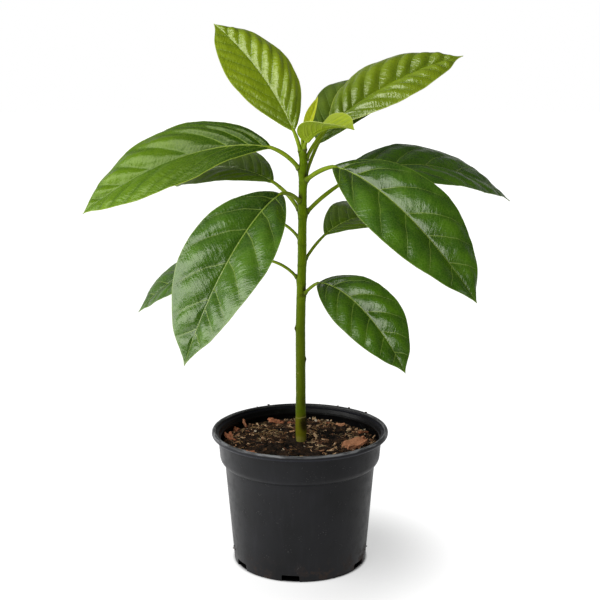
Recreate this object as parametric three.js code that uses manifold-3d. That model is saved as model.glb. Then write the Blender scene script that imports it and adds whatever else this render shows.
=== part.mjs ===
// Potted young avocado tree: one straight green stem with fourteen simple leaves,
// growing in a black nursery pot that is filled with potting soil.
// Units are millimetres, +Z is up, and the origin is the middle of the pot's flat underside.
// Bearings are degrees in plan: 0 faces the front (-Y), 90 the right (+X), 180 the back (+Y).

import * as THREE from 'three';
import { mergeVertices } from 'three/addons/utils/BufferGeometryUtils.js';
import Module from 'manifold-3d';

const wasm = await Module();
wasm.setup();

// ---------------------------------------------------------------- driving dimensions

const GAP = 0.3; // clearance between pieces that touch

const POT = {
  height: 130, // foot to the top of the lip
  lipRadius: 85, // widest point of the rolled lip
  lipHeight: 5,
  collarTopRadius: 78.8, // band under the lip
  collarFootRadius: 77.2,
  collarFootZ: 99,
  shoulderZ: 91, // foot of the rounded step under the band
  bodyTopRadius: 72.4,
  footRadius: 64.2,
  wall: 1.5,
  floorZ: 5, // underside of the raised floor
  floorThickness: 1.6,
  skirtDepth: 2.2, // thickness of the foot ring
  bossRadius: 26, // flat middle of the floor, which stands on the ground
  bossSlope: 3, // run of the slope from the flat middle up to the raised floor
  sides: 40,
};

const BOSS_WALL = 1; // wall of the slope round the flat middle, measured level

// Section of the rolled lip, from under its outer edge over the top to the inside:
// [in from the widest radius, down from the top]
const LIP_SECTION = [[2.2, 5.4], [0.3, 4.1], [0, 2.4], [1.2, 0.7], [3, 0], [4.7, 0.3], [5.5, 1.4]];

// Section of the rounded step: [share of the step's width, share of its height]
const STEP_SECTION = [[0, 0], [0.45, 0.2], [0.9, 0.68], [1, 1]];

// Drainage notches in the foot ring, and round holes through the raised floor
const NOTCH = { width: 17, height: 5.4, bearings: [-60, -8, 61, 116, 172, 240] };
const DRAIN = { radius: 5, ring: 50, count: 6, firstBearing: 30 };

// Top of the potting mix, from the wall in to the flat seat around the stem: [radius, z]
const SOIL_TOP = [[75.4, 116.5], [63.7, 118.4], [42, 119], [22, 118.3], [10, 117.5], [0, 117.5]];
const SEAT_Z = SOIL_TOP[SOIL_TOP.length - 1][1];

// Stem centre line as [z, x], and its radius as [z, radius]
const STEM = {
  sides: 12,
  rings: 20,
  axis: [[117, 1.1], [150, 0.7], [230, 0.4], [255, 0.9], [285, 1.7], [330, 2.2], [385, 2.8], [400, 2.7]],
  taper: [
    [117, 6.1], [121, 5.6], [130, 5.4], [165, 4.7], [230, 4.6],
    [270, 4.3], [350, 3.95], [385, 3.5], [398, 3.0],
  ],
  top: 398,
  crownHeight: 1.2, // the blunt end above that, drawn in by the inset
  crownInset: 1.3,
  nodeSwell: 0.18, // how far the stem swells under each leaf stalk
  swellBelow: 2, // how far under the stalk's joint, and over what height
  swellReach: 4,
  collarHeights: [0, 2, 6], // rings of the flared foot, above the soil
};

// Old leaf scars: small knobs on the bare lower stem
const SCARS = [
  { z: 229, bearing: -90, stand: 1.2, reach: 2.6 },
  { z: 199, bearing: 85, stand: 1.1, reach: 2.6 },
];

// Pointed bud on the stem's end. Its shape is [share of its length, share of its radius].
const BUD = {
  radius: 1.5,
  length: 11,
  bearing: -80,
  lean: 8,
  shape: [[0, 0.55], [0.25, 1], [0.55, 0.85], [0.8, 0.5], [1, 0.12]],
  sides: 6,
};

// Leaf stalks: a thicker foot, a slightly thinner neck, and how far each runs on as a rib under its blade
const STALK = { sides: 6, steps: 6, foot: 1.15, neck: 0.85, neckFrom: 0.75, intoBlade: 0.17 };

// Blades: steps along and across each half, sub-steps that follow the curve, and thickness
// as a share of the length
const BLADE = {
  along: 12,
  across: 3,
  substeps: 6,
  thicknessRatio: 1 / 95,
  leastThickness: 1.2,
  leastHalfWidth: 0.9,
};

// One entry per leaf, from the tip of the stem down.
// z: height of its joint on the stem; bearing: direction in plan; stalk: length and radius of the petiole;
// rise and set: the petiole's slope where it leaves the stem and where the blade starts;
// turn: change of bearing along the petiole; droop: slope at the blade's tip, reached by the power bend;
// sweep: change of bearing along the blade; roll: tilt across the blade at its foot;
// twist: tilt added by the tip; fold: angle of each half against the midrib;
// curl: change of that angle out to the margin;
// belly and round: where the outline is widest and how full it is.
const LEAVES = {
  leaf_young_upright: {
    z: 398, bearing: 180, stalk: 16, stalkRadius: 1.1, rise: 89, set: 58, turn: -46,
    length: 36, width: 13, droop: 68, bend: 0.9, sweep: 0, roll: -20, twist: -4, fold: 44, curl: 1,
    belly: 0.42, round: 0.9, color: 0xa6c03c,
  },
  leaf_young_folded: {
    z: 398, bearing: 42, stalk: 8, stalkRadius: 1.3, rise: 99, set: 52, turn: 0,
    length: 58, width: 43, droop: -16, bend: 0.8, sweep: 23, roll: 5, twist: -27, fold: 28, curl: -3,
    belly: 0.43, round: 0.65, color: 0x9aba33,
  },
  leaf_top_left: {
    z: 396, bearing: -118, stalk: 20, stalkRadius: 1.6, rise: 78, set: 56, turn: -19,
    length: 139, width: 65, droop: 34, bend: 0.95, sweep: 16, roll: 24, twist: 7, fold: 9, curl: -11,
    belly: 0.5, round: 0.8, color: 0x8fae2c,
  },
  leaf_top_right: {
    z: 389, bearing: 120, stalk: 40, stalkRadius: 1.6, rise: 62, set: 33, turn: 9,
    length: 159, width: 71, droop: 13, bend: 1.1, sweep: -27, roll: -20, twist: -7, fold: 11, curl: -9,
    belly: 0.5, round: 0.8, color: 0x84a62a,
  },
  leaf_upper_left: {
    z: 380.5, bearing: -88, stalk: 32, stalkRadius: 1.7, rise: 55, set: 20, turn: -5,
    length: 196, width: 84, droop: -39, bend: 0.5, sweep: -4, roll: 35, twist: 3, fold: 10, curl: -8,
    belly: 0.5, round: 0.8, color: 0x5f8c25,
  },
  leaf_top_back: {
    z: 373.5, bearing: 138, stalk: 34, stalkRadius: 1.6, rise: 67, set: 47.5, turn: 4,
    length: 131, width: 62, droop: 3, bend: 0.9, sweep: 8, roll: -14, twist: -2, fold: 10, curl: -8,
    belly: 0.5, round: 0.8, color: 0x4a7026,
  },
  leaf_upper_right: {
    z: 370, bearing: 51, stalk: 35, stalkRadius: 1.7, rise: 38, set: 12, turn: -5,
    length: 191, width: 86, droop: -54, bend: 0.4, sweep: 17, roll: -30, twist: 8, fold: 10, curl: -7,
    belly: 0.5, round: 0.8, color: 0x2f6a1f,
  },
  leaf_middle_left: {
    z: 350.5, bearing: -44, stalk: 29, stalkRadius: 1.7, rise: 42, set: -1, turn: 13,
    length: 195, width: 84, droop: -68, bend: 0.5, sweep: -19, roll: 24, twist: -12, fold: 12, curl: -4,
    belly: 0.5, round: 0.8, color: 0x2f6a1f,
  },
  leaf_upper_left_back: {
    z: 342, bearing: -124, stalk: 38, stalkRadius: 1.6, rise: 53, set: 26, turn: 0,
    length: 129, width: 71, droop: -34, bend: 0.9, sweep: 0, roll: 18, twist: 11, fold: 9, curl: -9,
    belly: 0.5, round: 0.8, color: 0x2b5c20,
  },
  leaf_upper_right_back: {
    z: 339.5, bearing: 116, stalk: 43, stalkRadius: 1.7, rise: 43, set: 26, turn: 2,
    length: 202, width: 82, droop: -38, bend: 0.9, sweep: -8, roll: -21, twist: -3, fold: 7, curl: -11,
    belly: 0.5, round: 0.8, color: 0x2b5c20,
  },
  leaf_middle_back: {
    z: 314.5, bearing: -142, stalk: 27, stalkRadius: 1.3, rise: 36, set: 14, turn: 2,
    length: 118, width: 54, droop: -42, bend: 0.8, sweep: 0, roll: 6, twist: 0, fold: 8, curl: -8,
    belly: 0.5, round: 0.8, color: 0x2f6a1f,
  },
  leaf_middle_right_back: {
    z: 295, bearing: 131, stalk: 33, stalkRadius: 1.3, rise: 50, set: 27, turn: 6,
    length: 139, width: 65, droop: -46, bend: 1, sweep: 0, roll: -15, twist: -6, fold: 10, curl: -8,
    belly: 0.5, round: 0.8, color: 0x2b5c20,
  },
  leaf_low_left_back: {
    z: 277.5, bearing: -110, stalk: 34, stalkRadius: 1.3, rise: 49, set: 6, turn: 6,
    length: 148, width: 65, droop: -53, bend: 1, sweep: 4, roll: 17, twist: 9, fold: 7, curl: -9,
    belly: 0.5, round: 0.8, color: 0x2f6a1f,
  },
  leaf_low_right: {
    z: 263.5, bearing: 50, stalk: 21, stalkRadius: 1.3, rise: 48, set: 24, turn: -12,
    length: 134, width: 63, droop: -59, bend: 0.5, sweep: 17, roll: -25, twist: 1, fold: 9, curl: -7,
    belly: 0.5, round: 0.8, color: 0x2b651e,
  },
};

// The outline narrows to a short drawn-out point
const DRIP_TIP = { starts: 0.86, halfWidth: 0.1 };

// ---------------------------------------------------------------- small helpers

const radians = THREE.MathUtils.degToRad;

// Value at x on a polyline of [x, value] pairs
function along(pairs, x) {
  const last = pairs.length - 1;
  if (x <= pairs[0][0]) return pairs[0][1];
  if (x >= pairs[last][0]) return pairs[last][1];
  const next = pairs.findIndex((pair) => pair[0] >= x);
  const [x0, v0] = pairs[next - 1];
  const [x1, v1] = pairs[next];
  return v0 + ((v1 - v0) * (x - x0)) / (x1 - x0);
}

// Unit vector at a bearing in plan and a slope above the level
function heading(bearing, slope) {
  const b = radians(bearing);
  const s = radians(slope);
  return new THREE.Vector3(Math.sin(b) * Math.cos(s), -Math.cos(b) * Math.cos(s), Math.sin(s));
}

function toManifold(geometry) {
  const bare = geometry.clone();
  bare.deleteAttribute('normal');
  bare.deleteAttribute('uv');
  const merged = mergeVertices(bare, 1e-4);
  const mesh = new wasm.Mesh({
    numProp: 3,
    vertProperties: new Float32Array(merged.attributes.position.array),
    triVerts: new Uint32Array(merged.index.array),
  });
  return new wasm.Manifold(mesh);
}

function toGeometry(manifold) {
  const mesh = manifold.getMesh();
  const geometry = new THREE.BufferGeometry();
  geometry.setAttribute('position', new THREE.BufferAttribute(new Float32Array(mesh.vertProperties), 3));
  geometry.setIndex(new THREE.BufferAttribute(new Uint32Array(mesh.triVerts), 1));
  return geometry;
}

// Closed solid from rings of points that all have the same count, capped by a fan at each end
function loft(rings) {
  const count = rings[0].length;
  const points = rings.flat();
  const index = [];
  for (let r = 0; r < rings.length - 1; r += 1) {
    for (let k = 0; k < count; k += 1) {
      const a = r * count + k;
      const b = r * count + ((k + 1) % count);
      index.push(a, b, a + count, b, b + count, a + count);
    }
  }
  for (const [ring, flip] of [[0, true], [rings.length - 1, false]]) {
    const middle = points.length;
    const centre = new THREE.Vector3();
    rings[ring].forEach((point) => centre.addScaledVector(point, 1 / count));
    points.push(centre);
    for (let k = 0; k < count; k += 1) {
      const a = ring * count + k;
      const b = ring * count + ((k + 1) % count);
      index.push(...(flip ? [b, a, middle] : [a, b, middle]));
    }
  }
  const geometry = new THREE.BufferGeometry();
  geometry.setFromPoints(points);
  geometry.setIndex(index);
  return geometry;
}

// Solid of revolution about +Z from [radius, z] points
function turned(profile, sides) {
  const points = profile.map(([radius, z]) => new THREE.Vector2(radius, z));
  const geometry = new THREE.LatheGeometry(points, sides);
  geometry.rotateX(Math.PI / 2);
  return geometry;
}

const plant = new THREE.Group();
plant.name = 'potted_avocado_tree';

function addPiece(name, geometry, color, roughness) {
  const material = new THREE.MeshStandardMaterial({ color, roughness, metalness: 0 });
  const mesh = new THREE.Mesh(geometry, material);
  mesh.name = name;
  plant.add(mesh);
}

// ---------------------------------------------------------------- pot

// Outer radius of the plain tapered body at a height
function bodyRadius(z) {
  return along([[0, POT.footRadius], [POT.shoulderZ, POT.bodyTopRadius]], z);
}

function potProfile() {
  const lipFoot = POT.height - POT.lipHeight;
  const floorTop = POT.floorZ + POT.floorThickness;
  const stepOut = POT.collarFootRadius - POT.bodyTopRadius;
  const stepUp = POT.collarFootZ - POT.shoulderZ;
  const outside = [
    [0, 0],
    [POT.bossRadius, 0],
    [POT.bossRadius + POT.bossSlope, POT.floorZ],
    [POT.footRadius - POT.skirtDepth, POT.floorZ],
    [POT.footRadius - POT.skirtDepth, 0],
    [POT.footRadius, 0],
    [bodyRadius(POT.shoulderZ / 2), POT.shoulderZ / 2],
    ...STEP_SECTION.map(([out, up]) => [POT.bodyTopRadius + stepOut * out, POT.shoulderZ + stepUp * up]),
    [POT.collarTopRadius, lipFoot],
    ...LIP_SECTION.map(([inward, down]) => [POT.lipRadius - inward, POT.height - down]),
  ];
  const inside = [
    [POT.collarTopRadius - POT.wall, lipFoot],
    [POT.collarFootRadius - POT.wall, POT.collarFootZ],
    [POT.bodyTopRadius - POT.wall, POT.shoulderZ],
    [bodyRadius(floorTop) - POT.wall, floorTop],
    [POT.bossRadius + POT.bossSlope - BOSS_WALL, floorTop],
    [POT.bossRadius - BOSS_WALL, POT.floorThickness],
    [0, POT.floorThickness],
  ];
  return { outside, inside };
}

// Box turned to a bearing, with its middle at a distance from the axis
function turnedBox(width, depth, height, bearing, distance, z) {
  const box = new THREE.BoxGeometry(width, depth, height);
  box.translate(0, -distance, z);
  box.rotateZ(radians(bearing));
  return box;
}

function makePot() {
  const { outside, inside } = potProfile();
  let pot = toManifold(turned([...outside, ...inside], POT.sides));
  for (const bearing of NOTCH.bearings) {
    const notch = turnedBox(NOTCH.width, POT.skirtDepth * 4, NOTCH.height * 2, bearing, POT.footRadius, 0);
    pot = pot.subtract(toManifold(notch));
  }
  for (let k = 0; k < DRAIN.count; k += 1) {
    const hole = new THREE.CylinderGeometry(DRAIN.radius, DRAIN.radius, POT.floorThickness * 4, 10);
    hole.rotateX(Math.PI / 2);
    hole.translate(0, -DRAIN.ring, POT.floorZ + POT.floorThickness / 2);
    hole.rotateZ(radians(DRAIN.firstBearing + (360 / DRAIN.count) * k));
    pot = pot.subtract(toManifold(hole));
  }
  addPiece('pot', toGeometry(pot), 0x1d1e20, 0.55);
}

// ---------------------------------------------------------------- potting soil

function makeSoil() {
  const floorTop = POT.floorZ + POT.floorThickness + GAP;
  const bossTop = POT.floorThickness + GAP;
  const profile = [
    [0, bossTop],
    [POT.bossRadius - BOSS_WALL - GAP, bossTop],
    [POT.bossRadius + POT.bossSlope - BOSS_WALL - GAP, floorTop],
    [bodyRadius(floorTop) - POT.wall - GAP, floorTop],
    [POT.bodyTopRadius - POT.wall - GAP, POT.shoulderZ + GAP],
    [SOIL_TOP[0][0] - GAP / 2, POT.collarFootZ + GAP * 2],
    ...SOIL_TOP,
  ];
  addPiece('potting_soil', turned(profile, POT.sides), 0x35241a, 0.95);
}

// ---------------------------------------------------------------- trunk and bud

function stemCentre(z) {
  return new THREE.Vector3(along(STEM.axis, z), 0, z);
}

// Ring of the stem at a height, larger by extra
function stemRing(z, extra) {
  const centre = stemCentre(z);
  const ring = [];
  for (let k = 0; k < STEM.sides; k += 1) {
    const bearing = (360 / STEM.sides) * k;
    let radius = along(STEM.taper, z) + extra;
    for (const scar of SCARS) {
      const turn = Math.abs(THREE.MathUtils.euclideanModulo(bearing - scar.bearing + 180, 360) - 180);
      const near = Math.hypot(z - scar.z, radians(turn) * radius) / scar.reach;
      radius += scar.stand * Math.exp(-near * near);
    }
    for (const leaf of Object.values(LEAVES)) {
      const near = (z - leaf.z + STEM.swellBelow) / STEM.swellReach;
      radius += STEM.nodeSwell * Math.exp(-near * near);
    }
    ring.push(centre.clone().addScaledVector(heading(bearing, 0), radius));
  }
  return ring;
}

function stemSolid(extra) {
  const foot = SEAT_Z + GAP;
  const heights = STEM.collarHeights.map((height) => foot + height);
  const plainFrom = heights[heights.length - 1];
  for (let k = 1; k <= STEM.rings; k += 1) {
    heights.push(plainFrom + ((STEM.top - plainFrom) * k) / STEM.rings);
  }
  SCARS.forEach((scar) => heights.push(scar.z - scar.reach, scar.z, scar.z + scar.reach));
  heights.sort((a, b) => a - b);
  const rings = heights.map((z) => stemRing(z, extra));
  rings.push(stemRing(STEM.top, extra - STEM.crownInset).map((point) => {
    return point.setZ(STEM.top + STEM.crownHeight + extra);
  }));
  return loft(rings);
}

function makeTrunk() {
  addPiece('trunk', stemSolid(0), 0x6f7f2a, 0.6);
}

function makeBud() {
  const direction = heading(BUD.bearing, 90 - BUD.lean);
  const foot = stemCentre(STEM.top + STEM.crownHeight + GAP);
  const rings = BUD.shape.map(([t, size]) => {
    const centre = foot.clone().addScaledVector(direction, BUD.length * t);
    return Array.from({ length: BUD.sides }, (_, k) => {
      return centre.clone().addScaledVector(heading((360 / BUD.sides) * k, 0), BUD.radius * size);
    });
  });
  addPiece('terminal_bud', loft(rings), 0xb4c44a, 0.6);
}

// ---------------------------------------------------------------- leaves

// Half width of a blade, as a share of its greatest, at t along the midrib
function outline(leaf, t) {
  const power = Math.log(0.5) / Math.log(leaf.belly);
  const body = Math.sin(Math.PI * Math.min(t, 1) ** power) ** leaf.round;
  const mix = THREE.MathUtils.smoothstep(t, DRIP_TIP.starts, 1);
  const point = (DRIP_TIP.halfWidth * (1 - t)) / (1 - DRIP_TIP.starts);
  return (1 - mix) * body + mix * point;
}

// Points along the petiole to the foot of the blade. The first lies inside the stem,
// and the finished leaf is cut back to the stem's surface.
function stalkPath(leaf) {
  const outer = along(STEM.taper, leaf.z) + GAP;
  const inner = outer / 2;
  const start = stemCentre(leaf.z).addScaledVector(heading(leaf.bearing, 0), outer);
  const path = [start.clone()];
  for (let k = 0; k < STALK.steps; k += 1) {
    const s = (k + 0.5) / STALK.steps;
    const slope = leaf.rise + (leaf.set - leaf.rise) * s;
    const step = heading(leaf.bearing + leaf.turn * s, slope).multiplyScalar(leaf.stalk / STALK.steps);
    path.push(path[path.length - 1].clone().add(step));
  }
  const root = stemCentre(leaf.z).addScaledVector(heading(leaf.bearing, 0), inner);
  root.z -= inner / 2;
  return [root, ...path];
}

// Midrib point and cross directions at t along the blade, which starts at foot
function bladeFrames(leaf, foot) {
  const frames = [];
  const place = foot.clone();
  for (let k = 0; k <= BLADE.along; k += 1) {
    const t = k / BLADE.along;
    const bearing = leaf.bearing + leaf.turn + leaf.sweep * t;
    const slope = leaf.set + (leaf.droop - leaf.set) * t ** leaf.bend;
    const ahead = heading(bearing, slope);
    const level = new THREE.Vector3(-Math.cos(radians(bearing)), -Math.sin(radians(bearing)), 0);
    const face = level.clone().cross(ahead);
    const tilt = radians(leaf.roll + leaf.twist * t);
    const side = level.clone().multiplyScalar(Math.cos(tilt)).addScaledVector(face, Math.sin(tilt));
    const up = level.clone().multiplyScalar(-Math.sin(tilt)).addScaledVector(face, Math.cos(tilt));
    frames.push({ t, mid: place.clone(), side, up });
    for (let j = 0; j < BLADE.substeps; j += 1) {
      const u = (k + (j + 0.5) / BLADE.substeps) / BLADE.along;
      const slopeThere = leaf.set + (leaf.droop - leaf.set) * u ** leaf.bend;
      const there = heading(leaf.bearing + leaf.turn + leaf.sweep * u, slopeThere);
      place.addScaledVector(there, leaf.length / BLADE.along / BLADE.substeps);
    }
  }
  return frames;
}

// The blade as a loft of flat rings: out over its upper face and back under it
function bladeSolid(leaf, frames) {
  const thickness = Math.max(leaf.length * BLADE.thicknessRatio, BLADE.leastThickness);
  const rings = frames.map(({ t, mid, side, up }) => {
    const half = Math.max((leaf.width / 2) * outline(leaf, t), BLADE.leastHalfWidth);
    const row = (sense) => {
      const points = [];
      for (let k = -BLADE.across; k <= BLADE.across; k += 1) {
        const v = (k / BLADE.across) * sense;
        const angle = radians(leaf.fold + (leaf.curl * Math.abs(v)) / 2);
        const point = mid.clone().addScaledVector(side, half * v * Math.cos(angle));
        point.addScaledVector(up, half * Math.abs(v) * Math.sin(angle) + (sense * thickness) / 2);
        points.push(point);
      }
      return points;
    };
    return [...row(-1), ...row(1)];
  });
  return loft(rings);
}

// Round tapering tube along a path
function stalkSolid(leaf, path) {
  const rings = path.map((point, k) => {
    const before = path[Math.max(k - 1, 0)];
    const after = path[Math.min(k + 1, path.length - 1)];
    const ahead = after.clone().sub(before).normalize();
    const side = new THREE.Vector3(0, 0, 1).cross(heading(leaf.bearing + leaf.turn / 2, 0)).normalize();
    side.addScaledVector(ahead, -side.dot(ahead)).normalize();
    const up = ahead.clone().cross(side);
    const share = k / (path.length - 1);
    const radius = leaf.stalkRadius * (k < 2 ? STALK.foot : 1) * (share > STALK.neckFrom ? STALK.neck : 1);
    const ring = [];
    for (let j = 0; j < STALK.sides; j += 1) {
      const angle = (2 * Math.PI * j) / STALK.sides;
      const spoke = side.clone().multiplyScalar(Math.cos(angle)).addScaledVector(up, Math.sin(angle));
      ring.push(point.clone().addScaledVector(spoke, radius));
    }
    return ring;
  });
  return loft(rings);
}

function makeLeaf(name, leaf, stemKeepOut) {
  const path = stalkPath(leaf);
  const frames = bladeFrames(leaf, path[path.length - 1]);
  const ribEnd = Math.round(BLADE.along * STALK.intoBlade);
  const rib = frames.slice(1, ribEnd + 1).map((frame) => frame.mid);
  let solid = toManifold(bladeSolid(leaf, frames));
  solid = solid.add(toManifold(stalkSolid(leaf, [...path, ...rib])));
  solid = solid.subtract(stemKeepOut);
  addPiece(name, toGeometry(solid), leaf.color, 0.4);
}

// ---------------------------------------------------------------- the whole plant

makePot();
makeSoil();
makeTrunk();
makeBud();

// The stem's flat facets lie nearer its axis than its corners, hence a little over the plain gap
const stemKeepOut = toManifold(stemSolid(GAP * 1.15));
for (const [name, leaf] of Object.entries(LEAVES)) {
  makeLeaf(name, leaf, stemKeepOut);
}

export default plant;
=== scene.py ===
# Young avocado tree in a nursery pot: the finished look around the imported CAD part.
# Metres, +Z up, origin in the middle of the pot's flat underside.
# Bearings are degrees in plan: 0 faces the front (-Y), 90 the right (+X), 180 the back.
import math
import random

import bpy
import numpy as np
from mathutils import Matrix, Vector, noise


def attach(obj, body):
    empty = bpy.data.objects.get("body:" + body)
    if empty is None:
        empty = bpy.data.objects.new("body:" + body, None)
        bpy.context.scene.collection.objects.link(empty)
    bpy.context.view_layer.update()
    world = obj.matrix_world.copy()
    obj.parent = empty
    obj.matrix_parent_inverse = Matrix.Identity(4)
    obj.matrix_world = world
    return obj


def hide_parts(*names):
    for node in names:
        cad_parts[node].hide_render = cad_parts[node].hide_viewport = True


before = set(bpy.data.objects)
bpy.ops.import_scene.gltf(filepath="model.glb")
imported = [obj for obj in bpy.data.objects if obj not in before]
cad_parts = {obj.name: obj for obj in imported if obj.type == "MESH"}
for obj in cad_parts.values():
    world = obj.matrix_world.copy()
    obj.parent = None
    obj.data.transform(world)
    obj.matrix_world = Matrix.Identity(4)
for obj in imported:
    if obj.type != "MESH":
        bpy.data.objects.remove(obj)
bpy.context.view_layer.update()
print("frame loaded,", len(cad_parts), "CAD nodes")


# helpers for meshes

def added(add, **settings):
    # a new primitive, made with nothing else selected
    bpy.ops.object.select_all(action="DESELECT")
    add(**settings)
    return bpy.context.object


def pickOnly(piece):
    bpy.ops.object.select_all(action="DESELECT")
    piece.select_set(True)
    bpy.context.view_layer.objects.active = piece


def openMesh():
    bpy.ops.object.mode_set(mode="EDIT")
    bpy.ops.mesh.select_all(action="SELECT")


def closeMesh():
    bpy.ops.object.mode_set(mode="OBJECT")


def rename(piece, name):
    piece.name = name
    piece.data.name = name
    return piece


def readPoints(piece):
    flat = np.zeros(len(piece.data.vertices) * 3)
    piece.data.vertices.foreach_get("co", flat)
    return flat.reshape(-1, 3)


def writePoints(piece, points):
    piece.data.vertices.foreach_set("co", np.asarray(points, np.float32).ravel())
    piece.data.update()


def writeAttributes(piece, **named):
    for name, values in named.items():
        made = piece.data.attributes.new(name, "FLOAT", "POINT")
        made.data.foreach_set("value", np.asarray(values, np.float32))


def modify(piece, kind, **settings):
    pickOnly(piece)
    bpy.ops.object.modifier_add(type=kind)
    modifier = piece.modifiers[-1]
    for name, value in settings.items():
        setattr(modifier, name, value)
    bpy.ops.object.modifier_apply(modifier=modifier.name)


def cleanUp(piece, merge=1e-6):
    # joins doubled points and turns every face outwards
    pickOnly(piece)
    openMesh()
    bpy.ops.mesh.remove_doubles(threshold=merge)
    bpy.ops.mesh.normals_make_consistent(inside=False)
    closeMesh()


def smooth(piece, angle=None):
    pickOnly(piece)
    if angle is None:
        bpy.ops.object.shade_smooth()
    else:
        bpy.ops.object.shade_smooth_by_angle(angle=math.radians(angle))


def joinUp(name, pieces):
    pickOnly(pieces[0])
    for piece in pieces:
        piece.select_set(True)
    bpy.ops.object.join()
    return rename(bpy.context.object, name)


def flatGrid(name, across, along):
    # a flat grid, with the place of each of its points as two shares from 0 to 1
    grid = bpy.ops.mesh.primitive_grid_add
    piece = rename(added(grid, x_subdivisions=across, y_subdivisions=along, size=1), name)
    x, y = readPoints(piece).T[:2]
    return piece, np.clip(x + 0.5, 0, 1), np.clip(y + 0.5, 0, 1)


def finishPiece(piece, nodes=(), material=None):
    if material:
        piece.data.materials.clear()
        piece.data.materials.append(material)
    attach(piece, "root")
    if nodes:
        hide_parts(*nodes)


def heading(bearing, slope):
    # the direction of a bearing and a slope
    bearing, slope = np.broadcast_arrays(np.radians(bearing), np.radians(slope))
    level = np.cos(slope)
    return np.stack([np.sin(bearing) * level, -np.cos(bearing) * level, np.sin(slope)], -1)


def ramp(x, low, high):
    share = np.clip((x - low) / (high - low), 0, 1)
    return share * share * (3 - 2 * share)


def rough(points, scale, octaves=3, seed=0.0):
    # fractal noise at each point, about -1 to 1
    shift = Vector((seed * 7.3, seed * 3.1, seed * 5.7))
    return np.array([noise.fractal(Vector(p) * scale + shift, 1.0, 2.0, octaves) for p in points])


def unit(vectors):
    return vectors / np.maximum(np.linalg.norm(vectors, axis=-1, keepdims=True), 1e-12)


def ringAround(turn, radius, side, above, flat=1.0):
    # the way from a tube's middle to its wall, where the tube is flat times as high as wide
    angle = 2 * np.pi * turn
    wide, high = np.cos(angle) * radius, np.sin(angle) * radius * flat
    return side * wide[:, None] + above * high[:, None]


# helpers for materials

def paint(*tone):
    # a tone given as on screen, 0 to 255, as the shader wants it
    shares = [c / 255 for c in tone]
    return (*(s / 12.92 if s <= 0.04045 else ((s + 0.055) / 1.055) ** 2.4 for s in shares), 1)


def workOn(tree):
    # the tree that the helpers below add their nodes to
    global workTree
    workTree = tree


def feed(socket, value):
    # a colour of three numbers is a tone given as on screen
    if isinstance(value, bpy.types.NodeSocket):
        workTree.links.new(value, socket)
    elif socket.type == "RGBA" and len(value) == 3:
        socket.default_value = paint(*value)
    else:
        socket.default_value = value


def addNode(kind, feeds={}, **settings):
    made = workTree.nodes.new("ShaderNode" + kind)
    for name, value in settings.items():
        setattr(made, name, value)
    for socket, value in feeds.items():
        feed(made.inputs[socket], value)
    return made


def calc(operation, *values):
    return addNode("Math", dict(enumerate(values)), operation=operation).outputs[0]


def times(value, *others):
    for other in others:
        value = calc("MULTIPLY", value, other)
    return value


def timesPlus(value, by, plus):
    return calc("MULTIPLY_ADD", value, by, plus)


def fade(value, low, high, start=0, end=1):
    # runs smoothly from start to end while the value goes from low to high
    feeds = {"Value": value, "From Min": low, "From Max": high, "To Min": start, "To Max": end}
    return addNode("MapRange", feeds, interpolation_type="SMOOTHSTEP").outputs["Result"]


def blend(share, first, second, way="MIX"):
    made = addNode("Mix", {0: share, 6: first, 7: second}, data_type="RGBA", blend_type=way)
    return made.outputs[2]


def coat(colour, *coats):
    # lays coats over a colour: each is a tone and the values whose product is its share
    for tone, *shares in coats:
        colour = blend(times(*shares), colour, tone)
    return colour


def readAttribute(name):
    return addNode("Attribute", attribute_name=name).outputs["Fac"]


def noiseValue(vector, scale, detail=3.0, roughness=0.55, distortion=0.0):
    feeds = {"Vector": vector, "Scale": scale, "Detail": detail, "Roughness": roughness}
    return addNode("TexNoise", {**feeds, "Distortion": distortion}).outputs["Fac"]


def stretched(vector, z):
    return addNode("Mapping", {"Vector": vector, "Scale": (1, 1, z)}).outputs[0]


def objectPoint():
    return addNode("TexCoord").outputs["Object"]


def axesOf(vector):
    return addNode("SeparateXYZ", {0: vector}).outputs


def fromAxes(x, y, z=0):
    return addNode("CombineXYZ", {0: x, 1: y, 2: z}).outputs[0]


def lengthOf(vector):
    return addNode("VectorMath", {0: vector}, operation="LENGTH").outputs["Value"]


def newMaterial(name):
    material = bpy.data.materials.new(name)
    material.use_nodes = True
    workOn(material.node_tree)
    return material


def dress(material, colour, roughness, relief, specular=0.5, tint=(1, 1, 1, 1)):
    # the last step of a material; relief is a height with its strength and its depth
    skin = workTree.nodes["Principled BSDF"].inputs
    bump = addNode("Bump", dict(zip(("Height", "Strength", "Distance"), relief)))
    feed(skin["Base Color"], colour)
    feed(skin["Roughness"], roughness)
    feed(skin["Normal"], bump.outputs[0])
    skin["Specular IOR Level"].default_value = specular
    skin["Specular Tint"].default_value = tint
    return material


def newGroup(name, inputs):
    # inputs: a name and its usual number, or None for a vector
    workOn(bpy.data.node_groups.new(name, "ShaderNodeTree"))
    for label, value in inputs.items():
        kind = "NodeSocketVector" if value is None else "NodeSocketFloat"
        socket = workTree.interface.new_socket(label, in_out="INPUT", socket_type=kind)
        if value is not None:
            socket.default_value = value
    return workTree.nodes.new("NodeGroupInput").outputs[:len(inputs)]


def closeGroup(results):
    for label in results:
        workTree.interface.new_socket(label, in_out="OUTPUT", socket_type="NodeSocketFloat")
    end = workTree.nodes.new("NodeGroupOutput")
    for label, value in results.items():
        feed(end.inputs[label], value)
    return workTree


def useGroup(group, *values):
    made = addNode("Group", node_tree=group)
    for socket, value in zip(made.inputs, values):
        feed(socket, value)
    return made.outputs


# camera, light and floor

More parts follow.
